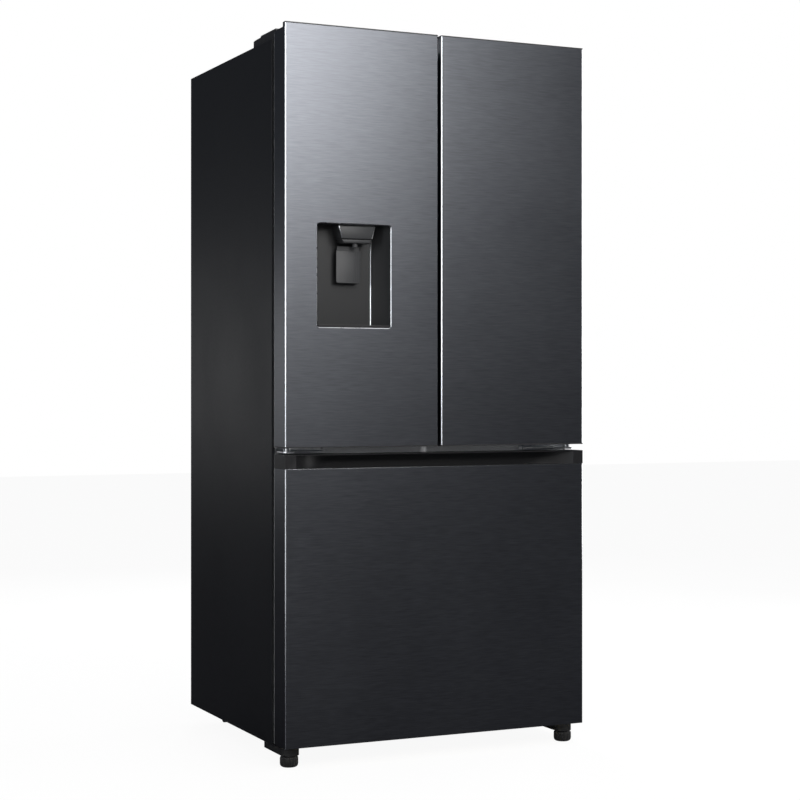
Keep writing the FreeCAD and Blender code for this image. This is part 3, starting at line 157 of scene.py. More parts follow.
def shade(colour, factor):
    """A colour made darker or lighter."""
    return tuple(channel * factor for channel in colour)


# ---------------------------------------------------------------- materials


def brushed_steel(name, colour, rough):
    """Dark steel with a fine horizontal grain: long thin streaks along X."""
    m = Nodes(name)
    grain = m.noise(1.0, 4, 0.65, (22, 22, 1700))
    streaks = m.noise(1.0, 3, 0.5, (26, 26, 620))
    cloud = m.noise(2.2, 2)
    mixed = m.blend(grain, streaks, 0.55)
    m.colour(m.ramp(mixed, shade(colour, 0.8), shade(colour, 1.2)))
    m.roughness(m.span(m.blend(mixed, cloud, 0.35), rough - 0.045, rough + 0.045))
    m.set(Metallic=1.0, Anisotropic=0.3, Anisotropic_Rotation=0.25)
    tangent = m.add("ShaderNodeTangent", direction_type="RADIAL", axis="Z")
    m.link(tangent.outputs["Tangent"], m.shader.inputs["Tangent"])
    m.bump(grain, 0.00003, 0.35)
    return m.material


def polished_edge():
    """The bare bright metal of the doors' ground edges."""
    m = Nodes("polished_edge")
    grain = m.noise(1.0, 3, 0.5, (900, 900, 14))
    m.colour(m.ramp(grain, (0.72, 0.74, 0.77), (0.93, 0.94, 0.96)))
    m.roughness(m.span(grain, 0.16, 0.26))
    m.set(Metallic=1.0)
    m.bump(grain, 0.00002, 0.3)
    return m.material


def painted_metal(name, colour, rough, peel=0.00004, spread=0.12, metallic=0.0):
    """Paint with a fine orange peel and a little uneven gloss."""
    m = Nodes(name)
    peel_noise = m.noise(420, 2)
    cloud = m.noise(3.0, 3)
    m.colour(m.ramp(cloud, shade(colour, 1 - spread), shade(colour, 1 + spread)))
    m.roughness(m.span(m.blend(cloud, peel_noise), rough - 0.05, rough + 0.07))
    m.set(Metallic=metallic)
    m.bump(peel_noise, peel, 0.5)
    return m.material


def galvanised():
    """Zinc sheet: flat crystals of slightly different grey."""
    m = Nodes("galvanised_sheet")
    crystals = m.cells(140)
    fine = m.noise(300, 2)
    tone = m.add("ShaderNodeSeparateColor")
    m.link(crystals.outputs["Color"], tone.inputs["Color"])
    crystal = m.blend(tone.outputs["Red"], fine, 0.25)
    m.colour(m.ramp(crystal, (0.44, 0.45, 0.465), (0.54, 0.55, 0.565), 0.1, 0.9))
    m.roughness(m.span(crystal, 0.5, 0.6, 0.1, 0.9))
    m.set(Metallic=0.9)
    m.bump(fine, 0.00003, 0.4)
    return m.material


def plastic(name, colour, rough, grain_scale=700, grain_depth=0.00005, spread=0.08):
    """Moulded plastic with a fine spark-eroded grain."""
    m = Nodes(name)
    grain = m.noise(grain_scale, 3, 0.6)
    cloud = m.noise(5, 2)
    m.colour(m.ramp(m.blend(grain, cloud, 0.6), shade(colour, 1 - spread), shade(colour, 1 + spread)))
    m.roughness(m.span(grain, rough - 0.05, rough + 0.07))
    m.bump(grain, grain_depth, 0.6)
    return m.material


def clear_plastic(name, colour, rough):
    """Clear moulded plastic with faint flow marks."""
    m = Nodes(name)
    flow = m.noise(9, 3, 0.5, (1, 1, 0.4))
    m.colour(m.ramp(flow, shade(colour, 0.95), colour))
    m.roughness(m.span(flow, rough, rough + 0.06))
    m.set(Transmission_Weight=0.92, IOR=1.49)
    m.bump(flow, 0.0002, 0.15)
    return m.material


def chrome():
    """Satin plating with faint smudges."""
    m = Nodes("chrome_plate")
    smudge = m.noise(60, 4, 0.6)
    m.colour(m.ramp(smudge, (0.6, 0.61, 0.63), (0.7, 0.71, 0.73)))
    m.roughness(m.span(smudge, 0.24, 0.34))
    m.set(Metallic=1.0)
    m.bump(smudge, 0.00002, 0.3)
    return m.material


def rubber(name, colour, rough):
    """Moulded rubber with a fine grain and a little dust."""
    m = Nodes(name)
    grain = m.noise(900, 2)
    dust = m.noise(35, 4, 0.6)
    m.colour(m.ramp(dust, shade(colour, 0.8), shade(colour, 1.35)))
    m.roughness(m.span(m.blend(grain, dust), rough - 0.06, rough + 0.08))
    m.set(Sheen_Weight=0.15)
    m.bump(grain, 0.00006, 0.7)
    return m.material


def lamp_lens():
    """The milky ribbed cover of the ceiling light."""
    m = Nodes("lamp_lens")
    ridges = m.add("ShaderNodeTexWave", wave_type="BANDS", bands_direction="X")
    m.link(m.place, ridges.inputs["Vector"])
    ridges.inputs["Scale"].default_value = 90
    m.colour(m.ramp(ridges.outputs["Fac"], (0.82, 0.84, 0.84), (0.96, 0.97, 0.96), 0, 1))
    m.roughness(m.span(ridges.outputs["Fac"], 0.22, 0.35, 0, 1))
    m.set(Subsurface_Weight=0.3, Subsurface_Radius=(0.01, 0.01, 0.01))
    m.bump(ridges.outputs["Fac"], 0.0003, 0.5)
    return m.material


def foam():
    """Yellowish rigid foam with small pores."""
    m = Nodes("insulation_foam")
    pores = m.cells(600).outputs["Distance"]
    cloud = m.noise(12, 4)
    m.colour(m.ramp(cloud, (0.62, 0.5, 0.26), (0.8, 0.7, 0.44)))
    m.roughness(m.span(pores, 0.75, 0.95))
    m.bump(pores, 0.0008, 0.6)
    return m.material


MATERIALS = {
    "front_steel": brushed_steel("front_steel", (0.149, 0.156, 0.1725), 0.34),
    "cabinet_paint": painted_metal("cabinet_paint", (0.006, 0.0066, 0.0085), 0.42),
    "galvanised": galvanised(),
    "black_plastic": plastic("black_plastic", (0.016, 0.016, 0.018), 0.42),
    "black_gloss": plastic("black_gloss", (0.0105, 0.011, 0.012), 0.4, 900, 0.00002),
    # the divider's pale grey is raised so that its band, deep in the gap under the doors, looks lit: partly
    # the beam's own grey, partly painted light
    "divider_grey": painted_metal("divider_grey", (0.8, 0.81, 0.83), 0.34),
    "foam": foam(),
    "white_liner": plastic("white_liner", (0.78, 0.79, 0.79), 0.26, 260, 0.00003, 0.02),
    "grey_trim": plastic("grey_trim", (0.42, 0.44, 0.46), 0.38, 500, 0.00003),
    "shelf_glass": clear_plastic("shelf_glass", (0.86, 0.95, 0.92), 0.02),
    "clear_plastic": clear_plastic("clear_plastic", (0.95, 0.97, 0.985), 0.06),
    "lamp_lens": lamp_lens(),
    "chrome": chrome(),
    "hinge_steel": painted_metal("hinge_steel", (0.02, 0.0205, 0.022), 0.45, metallic=0.3),
    "gasket_rubber": rubber("gasket_rubber", (0.055, 0.056, 0.06), 0.55),
    "foot_rubber": rubber("foot_rubber", (0.005, 0.005, 0.0055), 0.5),
    "compressor_paint": painted_metal("compressor_paint", (0.012, 0.012, 0.013), 0.22, 0.00008),
    "coil_steel": painted_metal("coil_steel", (0.022, 0.022, 0.024), 0.4),
    "evaporator_alloy": painted_metal("evaporator_alloy", (0.62, 0.63, 0.65), 0.32, metallic=1.0),
    "rail_steel": painted_metal("rail_steel", (0.5, 0.51, 0.53), 0.28, 0.00002, 0.05, 1.0),
    "roller_nylon": plastic("roller_nylon", (0.06, 0.06, 0.062), 0.5),
    "fan_plastic": plastic("fan_plastic", (0.05, 0.05, 0.053), 0.45),
}
EDGE_STEEL = polished_edge()
SATIN_CHROME = painted_metal("satin_chrome", (0.86, 0.87, 0.88), 0.3, 0.00002, 0.04, 1.0)
GRIP_PLASTIC = plastic("grip_plastic", (0.006, 0.006, 0.007), 0.38, 900, 0.00002)
SPOUT_PLASTIC = plastic("spout_plastic", (0.026, 0.027, 0.029), 0.5, 900, 0.00002)


# ---------------------------------------------------------------- mesh tools


def finish_mesh(piece, node, *materials):
    """Give a new piece its materials and its body, and stand it in the node's place."""
    slot = NODE_SLOT[node]
    for material in materials or (MATERIALS[slot],):
        piece.data.materials.append(material)
    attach(piece, NODE_BODY[node])
    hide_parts(node)
    return piece


def smooth(piece, angle=35):
    """Shade a piece smoothly, with edges sharper than the angle left crisp."""
    piece.data.shade_smooth()
    piece.data.set_sharp_from_angle(angle=math.radians(angle))


def new_object(name, mesh_source):
    """An object from a bmesh, which is freed."""
    mesh = bpy.data.meshes.new(name)
    mesh_source.to_mesh(mesh)
    mesh_source.free()
    piece = bpy.data.objects.new(name, mesh)
    bpy.context.scene.collection.objects.link(piece)
    return piece


def bevel(piece, width, segments=2, angle=32):
    """Round the edges that are sharper than the angle."""
    modifier = piece.modifiers.new("rounded_edges", "BEVEL")
    modifier.width = width
    modifier.segments = segments
    modifier.limit_method = "ANGLE"
    modifier.angle_limit = math.radians(angle)
    modifier.harden_normals = True
    modifier.use_clamp_overlap = True


def clean_copy(node):
    """A node's mesh with its triangles joined back into flat faces."""
    source = bmesh.new()
    source.from_mesh(frame["nodes"][node].data)
    bmesh.ops.remove_doubles(source, verts=source.verts, dist=1e-6)
    bmesh.ops.dissolve_limit(
        source,
        angle_limit=math.radians(0.5),
        use_dissolve_boundaries=False,
        verts=source.verts,
        edges=source.edges,
        delimit={"NORMAL"},
    )
    return source


def soften(node, width, *materials):
    """Stand a smooth copy in a node's place, with its edges rounded unless the width is 0."""
    piece = new_object(f"{node}_body", clean_copy(node))
    smooth(piece)
    if width:
        bevel(piece, width)
    return finish_mesh(piece, node, *materials)


def solid_boxes(node):
    """The box of each separate solid in a node, from left to right and then upward."""
    source = bmesh.new()
    source.from_mesh(frame["nodes"][node].data)
    bmesh.ops.remove_doubles(source, verts=source.verts, dist=1e-6)
    left = set(source.verts)
    boxes = []
    while left:
        frontier = [left.pop()]
        island = []
        while frontier:
            vertex = frontier.pop()
            island.append(vertex.co.copy())
            for edge in vertex.link_edges:
                other = edge.other_vert(vertex)
                if other in left:
                    left.discard(other)
                    frontier.append(other)
        low = Vector([min(point[axis] for point in island) for axis in range(3)])
        high = Vector([max(point[axis] for point in island) for axis in range(3)])
        boxes.append((low, high))
    source.free()
    return sorted(boxes, key=lambda pair: (round(pair[0].x, 3), round(pair[0].z, 3)))


def ring_points(low, high, radius, steps=8):
    """The corners of a rounded rectangle in a plane, anticlockwise."""
    points = []
    centres = (
        (high[0] - radius, high[1] - radius, 0),
        (low[0] + radius, high[1] - radius, 90),
        (low[0] + radius, low[1] + radius, 180),
        (high[0] - radius, low[1] + radius, 270),
    )
    for across, up, start in centres:
        for step in range(steps + 1):
            angle = math.radians(start + 90 * step / steps)
            points.append((across + radius * math.cos(angle), up + radius * math.sin(angle)))
    return points


def skin_rings(bm, rings, closed=False):
    """Join rings of equally many points with faces; closed puts a face over the first and the last."""
    made = [[bm.verts.new(point) for point in ring] for ring in rings]
    for first, second in zip(made, made[1:]):
        count = len(first)
        for index in range(count):
            after = (index + 1) % count
            bm.faces.new((first[index], first[after], second[after], second[index]))
    if closed:
        bm.faces.new(made[0][::-1])
        bm.faces.new(made[-1])


def lathe(name, profile, centre, steps, wave=None):
    """Turn a profile of (radius, height) pairs about an upright line; wave changes the radius by angle."""
    bm = bmesh.new()
    rings = []
    for radius, level in profile:
        ring = []
        for step in range(steps):
            angle = 2 * math.pi * step / steps
            reach = radius + (wave(angle, radius) if wave else 0)
            ring.append((centre[0] + reach * math.cos(angle), centre[1] + reach * math.sin(angle), level))
        rings.append(ring)
    skin_rings(bm, rings, closed=True)
    return new_object(name, bm)


def join(name, pieces):
    """One object from several, modifiers applied; faces keep their material numbers."""
    for piece in pieces:
        for _ in range(SECOND + 1):  # empty places, so that the faces keep their numbers
            piece.data.materials.append(None)
    depsgraph = bpy.context.evaluated_depsgraph_get()
    bm = bmesh.new()
    for piece in pieces:
        copy = bpy.data.meshes.new_from_object(piece.evaluated_get(depsgraph))
        copy.transform(piece.matrix_world)
        bm.from_mesh(copy)
        bpy.data.meshes.remove(copy)
    for piece in pieces:
        bpy.data.objects.remove(piece)
    return new_object(name, bm)


def tub(name, low, high, wall, radius, draft, rim, dip, front=1):
    """An open-topped moulded bin: rounded corners, tapered sides, a rolled rim and a front that dips.

    The dip is on the side that front names: 1 for +Y, -1 for -Y.
    """

    def level_ring(inset, z, corner, drop):
        """The outline at one height; drop lowers it toward the front."""
        shrink = draft * (high[2] - z)
        flat = ring_points(
            (low[0] + inset + shrink, low[1] + inset + shrink),
            (high[0] - inset - shrink, high[1] - inset - shrink),
            max(corner - shrink, 1.5 * MM),
        )
        middle = (low[1] + high[1]) / 2
        reach = (high[1] - low[1]) / 2
        ring = []
        for x, y in flat:
            share = max(0.0, front * (y - middle) / reach)
            ring.append((x, y, z - drop * share * share))
        return ring

    floor = low[2] + wall
    soft = min(radius * 0.5, 6 * MM)
    rings = [
        level_ring(rim + soft, low[2], radius - rim - soft, 0),
        level_ring(rim + soft * 0.3, low[2] + soft * 0.3, radius - rim, 0),
        level_ring(rim, low[2] + soft, radius - rim, 0),
        level_ring(rim, high[2] - rim * 1.6, radius - rim, dip),
        level_ring(0, high[2] - rim, radius, dip),
        level_ring(0, high[2], radius, dip),
        level_ring(rim + wall, high[2], radius - rim - wall, dip),
        level_ring(rim + wall, high[2] - rim * 2, radius - rim - wall, dip),
        level_ring(rim + wall, floor + soft, radius - rim - wall, 0),
        level_ring(rim + wall + soft, floor, radius - rim - wall - soft, 0),
    ]
    bm = bmesh.new()
    skin_rings(bm, rings, closed=True)
    bmesh.ops.recalc_face_normals(bm, faces=bm.faces)
    piece = new_object(name, bm)
    smooth(piece, 40)
    return piece


# ---------------------------------------------------------------- camera, lights and floor


def make_camera():
    """The camera stands to the left of the front, level with the object's middle."""
    yaw = 24.94
    data = bpy.data.cameras.new("camera")
    data.sensor_width = 36
    data.lens = 80.44
    data.shift_y = -0.015
    camera = bpy.data.objects.new("camera", data)
    camera.location = (-1.950, -4.3170, 0.9105)
    camera.rotation_euler = (math.radians(90), 0, math.radians(-yaw))
    bpy.context.scene.collection.objects.link(camera)
    bpy.context.scene.camera = camera


def area_light(name, place, target, size, power, colour=(1, 1, 1)):
    """A rectangular light that the camera doesn't see: width and height in metres, power in watts."""
    data = bpy.data.lights.new(name, "AREA")
    data.shape = "RECTANGLE"
    data.size, data.size_y = size
    data.energy = power
    data.color = colour
    light = bpy.data.objects.new(name, data)
    light.location = place
    direction = Vector(target) - Vector(place)
    light.rotation_euler = direction.to_track_quat("-Z", "Y").to_euler()
    light.visible_camera = False
    bpy.context.scene.collection.objects.link(light)


def make_lights():
    """Softboxes in front, strips at both sides, and a white room that reflections see as dark."""
    area_light("key_softbox", (0.2, -3.5, 2.85), (0.1, -0.3, 1.6), (2.05, 2.2), 103, (1, 0.99, 0.975))
    area_light("left_strip", (-3.3, -1.75, 1.9), (-0.4, -0.35, 1.4), (0.8, 1.9), 18, (0.95, 0.98, 1))
    area_light("left_low_strip", (-3.3, -1.75, 0.5), (-0.4, -0.35, 0.4), (0.8, 1.3), 4, (0.95, 0.98, 1))
    area_light("overhead", (0.8, -0.45, 3.2), (0.5, -0.4, 0), (2.4, 1.2), 30)
    area_light("front_left_softbox", (-2.5, -3.6, 1.9), (-0.1, -0.3, 0.9), (1.5, 1.9), 19)
    area_light("side_glow", (-2.2, 3.6, 1.0), (-0.4, 0, 1.0), (0.9, 0.8), 2.6)
    area_light("right_strip", (3.3, 1.1, 1.3), (0.4, -0.2, 1.0), (0.8, 2.2), 26)
    area_light("right_front_strip", (3.4, -1.75, 0.85), (0.0, -0.3, 0.75), (0.9, 1.0), 8)
    area_light("back_softbox", (0.6, 3.4, 2.3), (0.2, 0.35, 0.9), (1.4, 1.4), 70)
    world = bpy.data.worlds.new("studio")
    world.use_nodes = True
    nodes = world.node_tree.nodes
    links = world.node_tree.links
    first_input, second_input, result = COLOUR_MIX
    rays = nodes.new("ShaderNodeLightPath")
    ambient = nodes.new("ShaderNodeMix")
    ambient.data_type = "RGBA"
    ambient.inputs[first_input].default_value = (0.45, 0.455, 0.465, 1)
    ambient.inputs[second_input].default_value = (0.055, 0.06, 0.07, 1)
    links.new(rays.outputs["Is Glossy Ray"], ambient.inputs["Factor"])
    seen = nodes.new("ShaderNodeMix")
    seen.data_type = "RGBA"
    seen.inputs[second_input].default_value = (1.0, 1.0, 1.0, 1)
    links.new(rays.outputs["Is Camera Ray"], seen.inputs["Factor"])
    links.new(ambient.outputs[result], seen.inputs[first_input])
    links.new(seen.outputs[result], nodes["Background"].inputs["Color"])
    nodes["Background"].inputs["Strength"].default_value = 1.0
    bpy.context.scene.world = world
    bpy.context.scene.view_settings.view_transform = "Standard"


def make_floor():
    """A plain pale floor that keeps its contact shadow, glows for the camera and is dark in reflections."""
    bm = bmesh.new()
    reach = 14
    corners = ((-reach, -reach), (reach, -reach), (reach, reach), (-reach, reach))
    bm.faces.new([bm.verts.new((x, y, 0)) for x, y in corners])
    floor = new_object("studio_floor", bm)
    m = Nodes("studio_floor")
    fine = m.noise(3, 2)
    m.colour(m.ramp(fine, (0.86, 0.86, 0.86), (0.9, 0.9, 0.9)))
    m.roughness(m.span(fine, 0.85, 0.95))
    surface = m.shader.outputs["BSDF"]
    glow = m.add("ShaderNodeEmission")
    glow.inputs["Strength"].default_value = 1.0
    rays = m.add("ShaderNodeLightPath")
    dark = m.add("ShaderNodeBsdfDiffuse")
    dark.inputs["Color"].default_value = (0.03, 0.03, 0.035, 1)
    in_reflections = m.add("ShaderNodeMixShader")
    factor, first_shader, second_shader = in_reflections.inputs
    m.link(rays.outputs["Is Glossy Ray"], factor)
    m.link(surface, first_shader)
    m.link(dark.outputs["BSDF"], second_shader)
    glow_share = m.add("ShaderNodeMath", operation="MULTIPLY")
    seen_directly, most = glow_share.inputs[:2]
    m.link(rays.outputs["Is Camera Ray"], seen_directly)
    most.default_value = 0.93
    to_camera = m.add("ShaderNodeMixShader")
    factor, first_shader, second_shader = to_camera.inputs
    m.link(glow_share.outputs["Value"], factor)
    m.link(in_reflections.outputs["Shader"], first_shader)
    m.link(glow.outputs["Emission"], second_shader)
    m.link(to_camera.outputs["Shader"], m.tree.nodes["Material Output"].inputs["Surface"])
    floor.data.materials.append(m.material)


# ---------------------------------------------------------------- the pieces

CAD_CHAMFER = 1.0 * MM  # the steel fronts' chamfer as packed
CHAMFER = 1.8 * MM  # the same chamfer as it looks in the photo


def widen_ground_edges(bm, low, high, fold_end):
    """Widen the chamfers along both sides, with metal behind them, and run the folds to the inner panel."""
    for vertex in bm.verts:
        point = vertex.co
        edge_x = min((low.x, high.x), key=lambda x: abs(x - point.x))
        inward = 1 if edge_x == low.x else -1
        from_front = point.y - low.y
        at_chamfer = abs(abs(point.x - edge_x) - CAD_CHAMFER) < NEAR
        if abs(point.y - high.y) < 2 * NEAR:
            point.y = fold_end
        elif abs(from_front) < NEAR and at_chamfer:
            point.x = edge_x + inward * CHAMFER
        elif abs(from_front - CAD_CHAMFER) < NEAR:
            point.y = low.y + CHAMFER
            if at_chamfer:
                point.x = edge_x + inward * CHAMFER


def grind_top(bm, low, high):
    """Chamfer the drawer front's upper edges, which stay bright."""
    edges = [
        edge
        for edge in bm.edges
        if all(abs(v.co.z - high.z) < NEAR for v in edge.verts)
        and any(face.normal.z < 0.5 for face in edge.link_faces)
        and all(v.co.y < low.y + CHAMFER + NEAR or abs(abs(v.co.x) - high.x) < NEAR for v in edge.verts)
    ]
    bmesh.ops.bevel(bm, geom=edges, offset=0.45 * MM, segments=1, affect="EDGES", material=SECOND)


def make_steel_fronts():
    """Folded steel fronts: brushed faces, ground bright edges, sides that run back to the inner panel."""
    for node, back_node in (
        ("left_door_skin", "left_door_liner"),
        ("right_door_skin", "right_door_liner"),
        ("drawer_skin", "drawer_liner"),
    ):
        bm = clean_copy(node)
        low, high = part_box(node)
        widen_ground_edges(bm, low, high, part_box(back_node)[0].y - NEAR)
        if node == "drawer_skin":
            grind_top(bm, low, high)
        bm.normal_update()
        for face in bm.faces:
            slanted = abs(abs(face.normal.x) - abs(face.normal.y)) < 0.2
            if slanted and face.normal.y < -0.5:
                face.material_index = SECOND
        piece = new_object(f"{node}_body", bm)
        smooth(piece, 25)
        bevel(piece, 0.25 * MM, 2, 25)
        finish_mesh(piece, node, MATERIALS["front_steel"], EDGE_STEEL)


def make_inner_panels():
    """White inner panels; their side faces, seen in the gap beside the door, are black: painted shade."""
    for node in ("left_door_liner", "right_door_liner", "drawer_liner"):
        bm = clean_copy(node)
        low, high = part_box(node)
        for face in bm.faces:
            centre = face.calc_center_median()
            at_side = min(abs(centre.x - low.x), abs(centre.x - high.x)) < 5 * NEAR
            # the side faces take the black material: painted shade in the gap beside the door
            if at_side and abs(face.normal.x) > 0.9:
                face.material_index = SECOND
        piece = new_object(f"{node}_body", bm)
        smooth(piece)
        bevel(piece, 1.5 * MM, 3)
        finish_mesh(piece, node, MATERIALS["white_liner"], MATERIALS["black_plastic"])


def make_gaskets():
    """Magnetic door seals: a flat root, a pleated bellows and a soft magnet pocket."""
    width = 14.0
    section_depth = 14.5
    corner = 16 * MM
    # inset and depth in millimetres of the outer half; the inner half is its mirror
    half = (
        (0.0, 0.0),
        (0.0, 2.5),
        (3.0, 4.5),
        (1.4, 6.5),
        (3.2, 8.4),
        (0.6, 9.6),
        (0.2, 13.2),
        (1.4, section_depth),
    )
    section = half + tuple((width - inset, depth) for inset, depth in reversed(half))
    for node in ("left_door_gasket", "right_door_gasket", "drawer_gasket"):
        low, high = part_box(node)
        stretch = (high.y - low.y) / section_depth
        rings = []
        for inset, depth in section + section[:1]:
            flat = ring_points(
                (low.x + inset * MM, low.z + inset * MM),
                (high.x - inset * MM, high.z - inset * MM),
                max(corner - inset * MM, 2 * MM),
            )
            rings.append([(x, low.y + depth * stretch, z) for x, z in flat])
        bm = bmesh.new()
        skin_rings(bm, rings)
        bmesh.ops.remove_doubles(bm, verts=bm.verts, dist=1e-6)
        bmesh.ops.recalc_face_normals(bm, faces=bm.faces)
        piece = new_object(f"{node}_bellows", bm)
        smooth(piece, 50)
        finish_mesh(piece, node)


def make_bins():
    """Moulded bins: on the doors, in the fridge and in the freezer drawer."""
    wall, rim = 2.2 * MM, 2.4 * MM
    door_corner, loose_corner = 24 * MM, 26 * MM
    door_draft, door_dip = 0.03, 16 * MM
    for node in ("left_door_bins", "right_door_bins"):
        parts = [
            tub(f"{node}_{number}", low, high, wall, door_corner, door_draft, rim, door_dip)
            for number, (low, high) in enumerate(solid_boxes(node))
        ]
        piece = join(f"{node}_moulding", parts)
        smooth(piece, 40)
        finish_mesh(piece, node)
    for node, draft, dip in (
        ("crisper_left", 0.02, 12 * MM),
        ("crisper_right", 0.02, 12 * MM),
        ("freezer_lower_bin", 0.015, 30 * MM),
        ("freezer_upper_bin", 0.015, 24 * MM),
    ):
        low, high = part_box(node)
        piece = tub(f"{node}_moulding", low, high, wall, loose_corner, draft, rim, dip, front=-1)
        finish_mesh(piece, node)


def trapezoid(middle, half_top, half_bottom, low, high):
    """The corners in XZ of a shape that narrows or widens downward: upper left first, then anticlockwise."""
    return (
        (middle - half_top, high),
        (middle - half_bottom, low),
        (middle + half_bottom, low),
        (middle + half_top, high),
    )


def upright(left, right, low, high):
    """The corners in XZ of an upright rectangle, in the same order."""
    half = (right - left) / 2
    return trapezoid(left + half, half, half, low, high)


def outline_prism(name, corners, y_front, y_back, edge_inset, bright=()):
    """A plate from corners in XZ, with a chamfered front; bright holds the numbers of the plated chamfers."""
    bm = bmesh.new()
    centre = Vector((sum(x for x, z in corners) / len(corners), sum(z for x, z in corners) / len(corners)))
    count = len(corners)
    inner = []
    for number, (x, z) in enumerate(corners):
        before = Vector(corners[number - 1])
        here = Vector((x, z))
        after = Vector(corners[(number + 1) % count])
        along_in = (here - before).normalized()
        along_out = (after - here).normalized()
        normals = [Vector((-along.y, along.x)) for along in (along_in, along_out)]
        normals = [n if n.dot(centre - here) > 0 else -n for n in normals]
        middle = (normals[0] + normals[1]).normalized()
        inner.append(here + middle * (edge_inset / max(0.3, middle.dot(normals[0]))))
    rings = [
        [(point.x, y_front, point.y) for point in inner],
        [(x, y_front + edge_inset, z) for x, z in corners],
        [(x, y_back, z) for x, z in corners],
    ]
    skin_rings(bm, rings, closed=True)
    bm.faces.ensure_lookup_table()
    for number in bright:
        bm.faces[number].material_index = SECOND
    bmesh.ops.recalc_face_normals(bm, faces=bm.faces)
    return new_object(name, bm)


def make_dispenser_rim():
    """The plated frame round the dispenser's opening."""
    low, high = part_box("dispenser_rim")
    corner = 8 * MM
    # inset and depth in millimetres: a thin outer lip, a slanted band and a sleeve into the door
    lip, band, depth = 0.3, 1.6, 4.2
    rings = []
    for inset, back in ((0, lip), (lip, 0.05), (band, 1.35), (band, depth), (0, depth), (0, lip)):
        flat = ring_points(
            (low.x + inset * MM, low.z + inset * MM),
            (high.x - inset * MM, high.z - inset * MM),
            corner - inset * MM,
            10,
        )
        rings.append([(x, low.y + back * MM, z) for x, z in flat])
    bm = bmesh.new()
    skin_rings(bm, rings)
    bmesh.ops.remove_doubles(bm, verts=bm.verts, dist=1e-7)
    bmesh.ops.recalc_face_normals(bm, faces=bm.faces)
    rim = new_object("dispenser_frame", bm)
    smooth(rim, 30)
    finish_mesh(rim, "dispenser_rim")


def make_alcove():
    """The dark alcove, with a raised plate on its back wall and a plated bead beside the slanted wall."""
    low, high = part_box("dispenser_rim")
    depth = 56 * MM
    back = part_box("left_door_skin")[0].y + depth
    foot, head = low.z + 9.5 * MM, high.z - 6 * MM
    plate_left, bead_left = low.x + 9 * MM, high.x - 33.2 * MM
    bead_width, bead_height = 4 * MM, 3.6 * MM
    plate_height = 1.2 * MM
    sunk = back + 0.5 * MM
    shell = new_object("alcove_shell", clean_copy("dispenser_housing"))
    bevel(shell, 0.8 * MM)
    plate_outline = upright(plate_left, bead_left, foot, head)
    plate = outline_prism("alcove_plate", plate_outline, back - plate_height, sunk, 0.8 * MM, (2,))
    bead_outline = upright(bead_left, bead_left + bead_width, foot, head)
    bead = outline_prism("alcove_bead", bead_outline, back - bead_height, sunk, 1.3 * MM, (0,))
    housing = join("dispenser_alcove", [shell, plate, bead])
    smooth(housing, 30)
    finish_mesh(housing, "dispenser_housing", MATERIALS["black_gloss"], SATIN_CHROME)


def make_spout():
    """The spout: a tapered nose with plated sides, a lip under it, a cap over it and a round nozzle."""
    low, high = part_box("dispenser_spout")
    middle = (low.x + high.x) / 2
    half = (high.x - low.x) / 2
    nose_top = high.z - 4 * MM
    lip_top = high.z - 37 * MM
    lip_foot = high.z - 46 * MM
    nose_outline = trapezoid(middle, half, half - 8.5 * MM, lip_top + 1.2 * MM, nose_top)
    nose = outline_prism("spout_nose", nose_outline, low.y, high.y, 2.2 * MM, (0, 2))
    lip_outline = trapezoid(middle, half - 10 * MM, half - 14 * MM, lip_foot, lip_top)
    lip = outline_prism("spout_lip", lip_outline, low.y + 2.5 * MM, high.y - 12 * MM, 1.6 * MM)
    cap_outline = trapezoid(middle, half - 2 * MM, half - 2 * MM, nose_top, high.z)
    cap = outline_prism("spout_top", cap_outline, low.y + 3 * MM, high.y, 1 * MM)
    for part in (nose, lip, cap):
        bevel(part, 0.5 * MM)
    nozzle_radius = 7 * MM
    mouth = low.z + 0.2 * MM
    profile = [
        (nozzle_radius * 0.6, mouth),
        (nozzle_radius - 0.4 * MM, mouth),
        (nozzle_radius, mouth + 0.8 * MM),
        (nozzle_radius, lip_foot + 2 * MM),
    ]
    nozzle_depth = 24 * MM
    nozzle_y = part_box("left_door_skin")[0].y + nozzle_depth
    nozzle = lathe("spout_nozzle", profile, (middle, nozzle_y), 40)
    spout = join("dispenser_spout_body", [nose, lip, cap, nozzle])
    smooth(spout, 30)
    finish_mesh(spout, "dispenser_spout", SPOUT_PLASTIC, SATIN_CHROME)


def make_paddle():
    """The paddle that a glass presses: a plate with rounded lower corners, a neck behind and three ribs."""
    low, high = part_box("dispenser_lever")
    plate_top = high.z - 12 * MM
    corner = 5 * MM
    cut = 0.3 * corner
    outline = (
        (low.x, plate_top),
        (low.x, low.z + corner),
        (low.x + cut, low.z + cut),
        (low.x + corner, low.z),
        (high.x - corner, low.z),
        (high.x - cut, low.z + cut),
        (high.x, low.z + corner),
        (high.x, plate_top),
    )
    plate = outline_prism("paddle_plate", outline, low.y, low.y + 4 * MM, 0.6 * MM)
    bevel(plate, 0.3 * MM)
    neck_outline = upright(low.x + 3 * MM, high.x - 3 * MM, plate_top - 1 * MM, high.z - 1.5 * MM)
    neck = outline_prism("paddle_neck", neck_outline, low.y + 2.2 * MM, low.y + 5.5 * MM, 0.5 * MM)
    parts = [plate, neck]
    rib_width, rib_pitch = 1.4 * MM, 5 * MM
    for number in range(3):
        x = high.x - 7 * MM - rib_pitch * number
        rib_outline = upright(x, x + rib_width, low.z + 3 * MM, plate_top - 2 * MM)
        rib = outline_prism(f"paddle_rib_{number}", rib_outline, low.y - 0.6 * MM, low.y + 1 * MM, 0.5 * MM)
        parts.append(rib)
    lever = join("dispenser_paddle", parts)
    smooth(lever, 30)
    finish_mesh(lever, "dispenser_lever", SPOUT_PLASTIC)


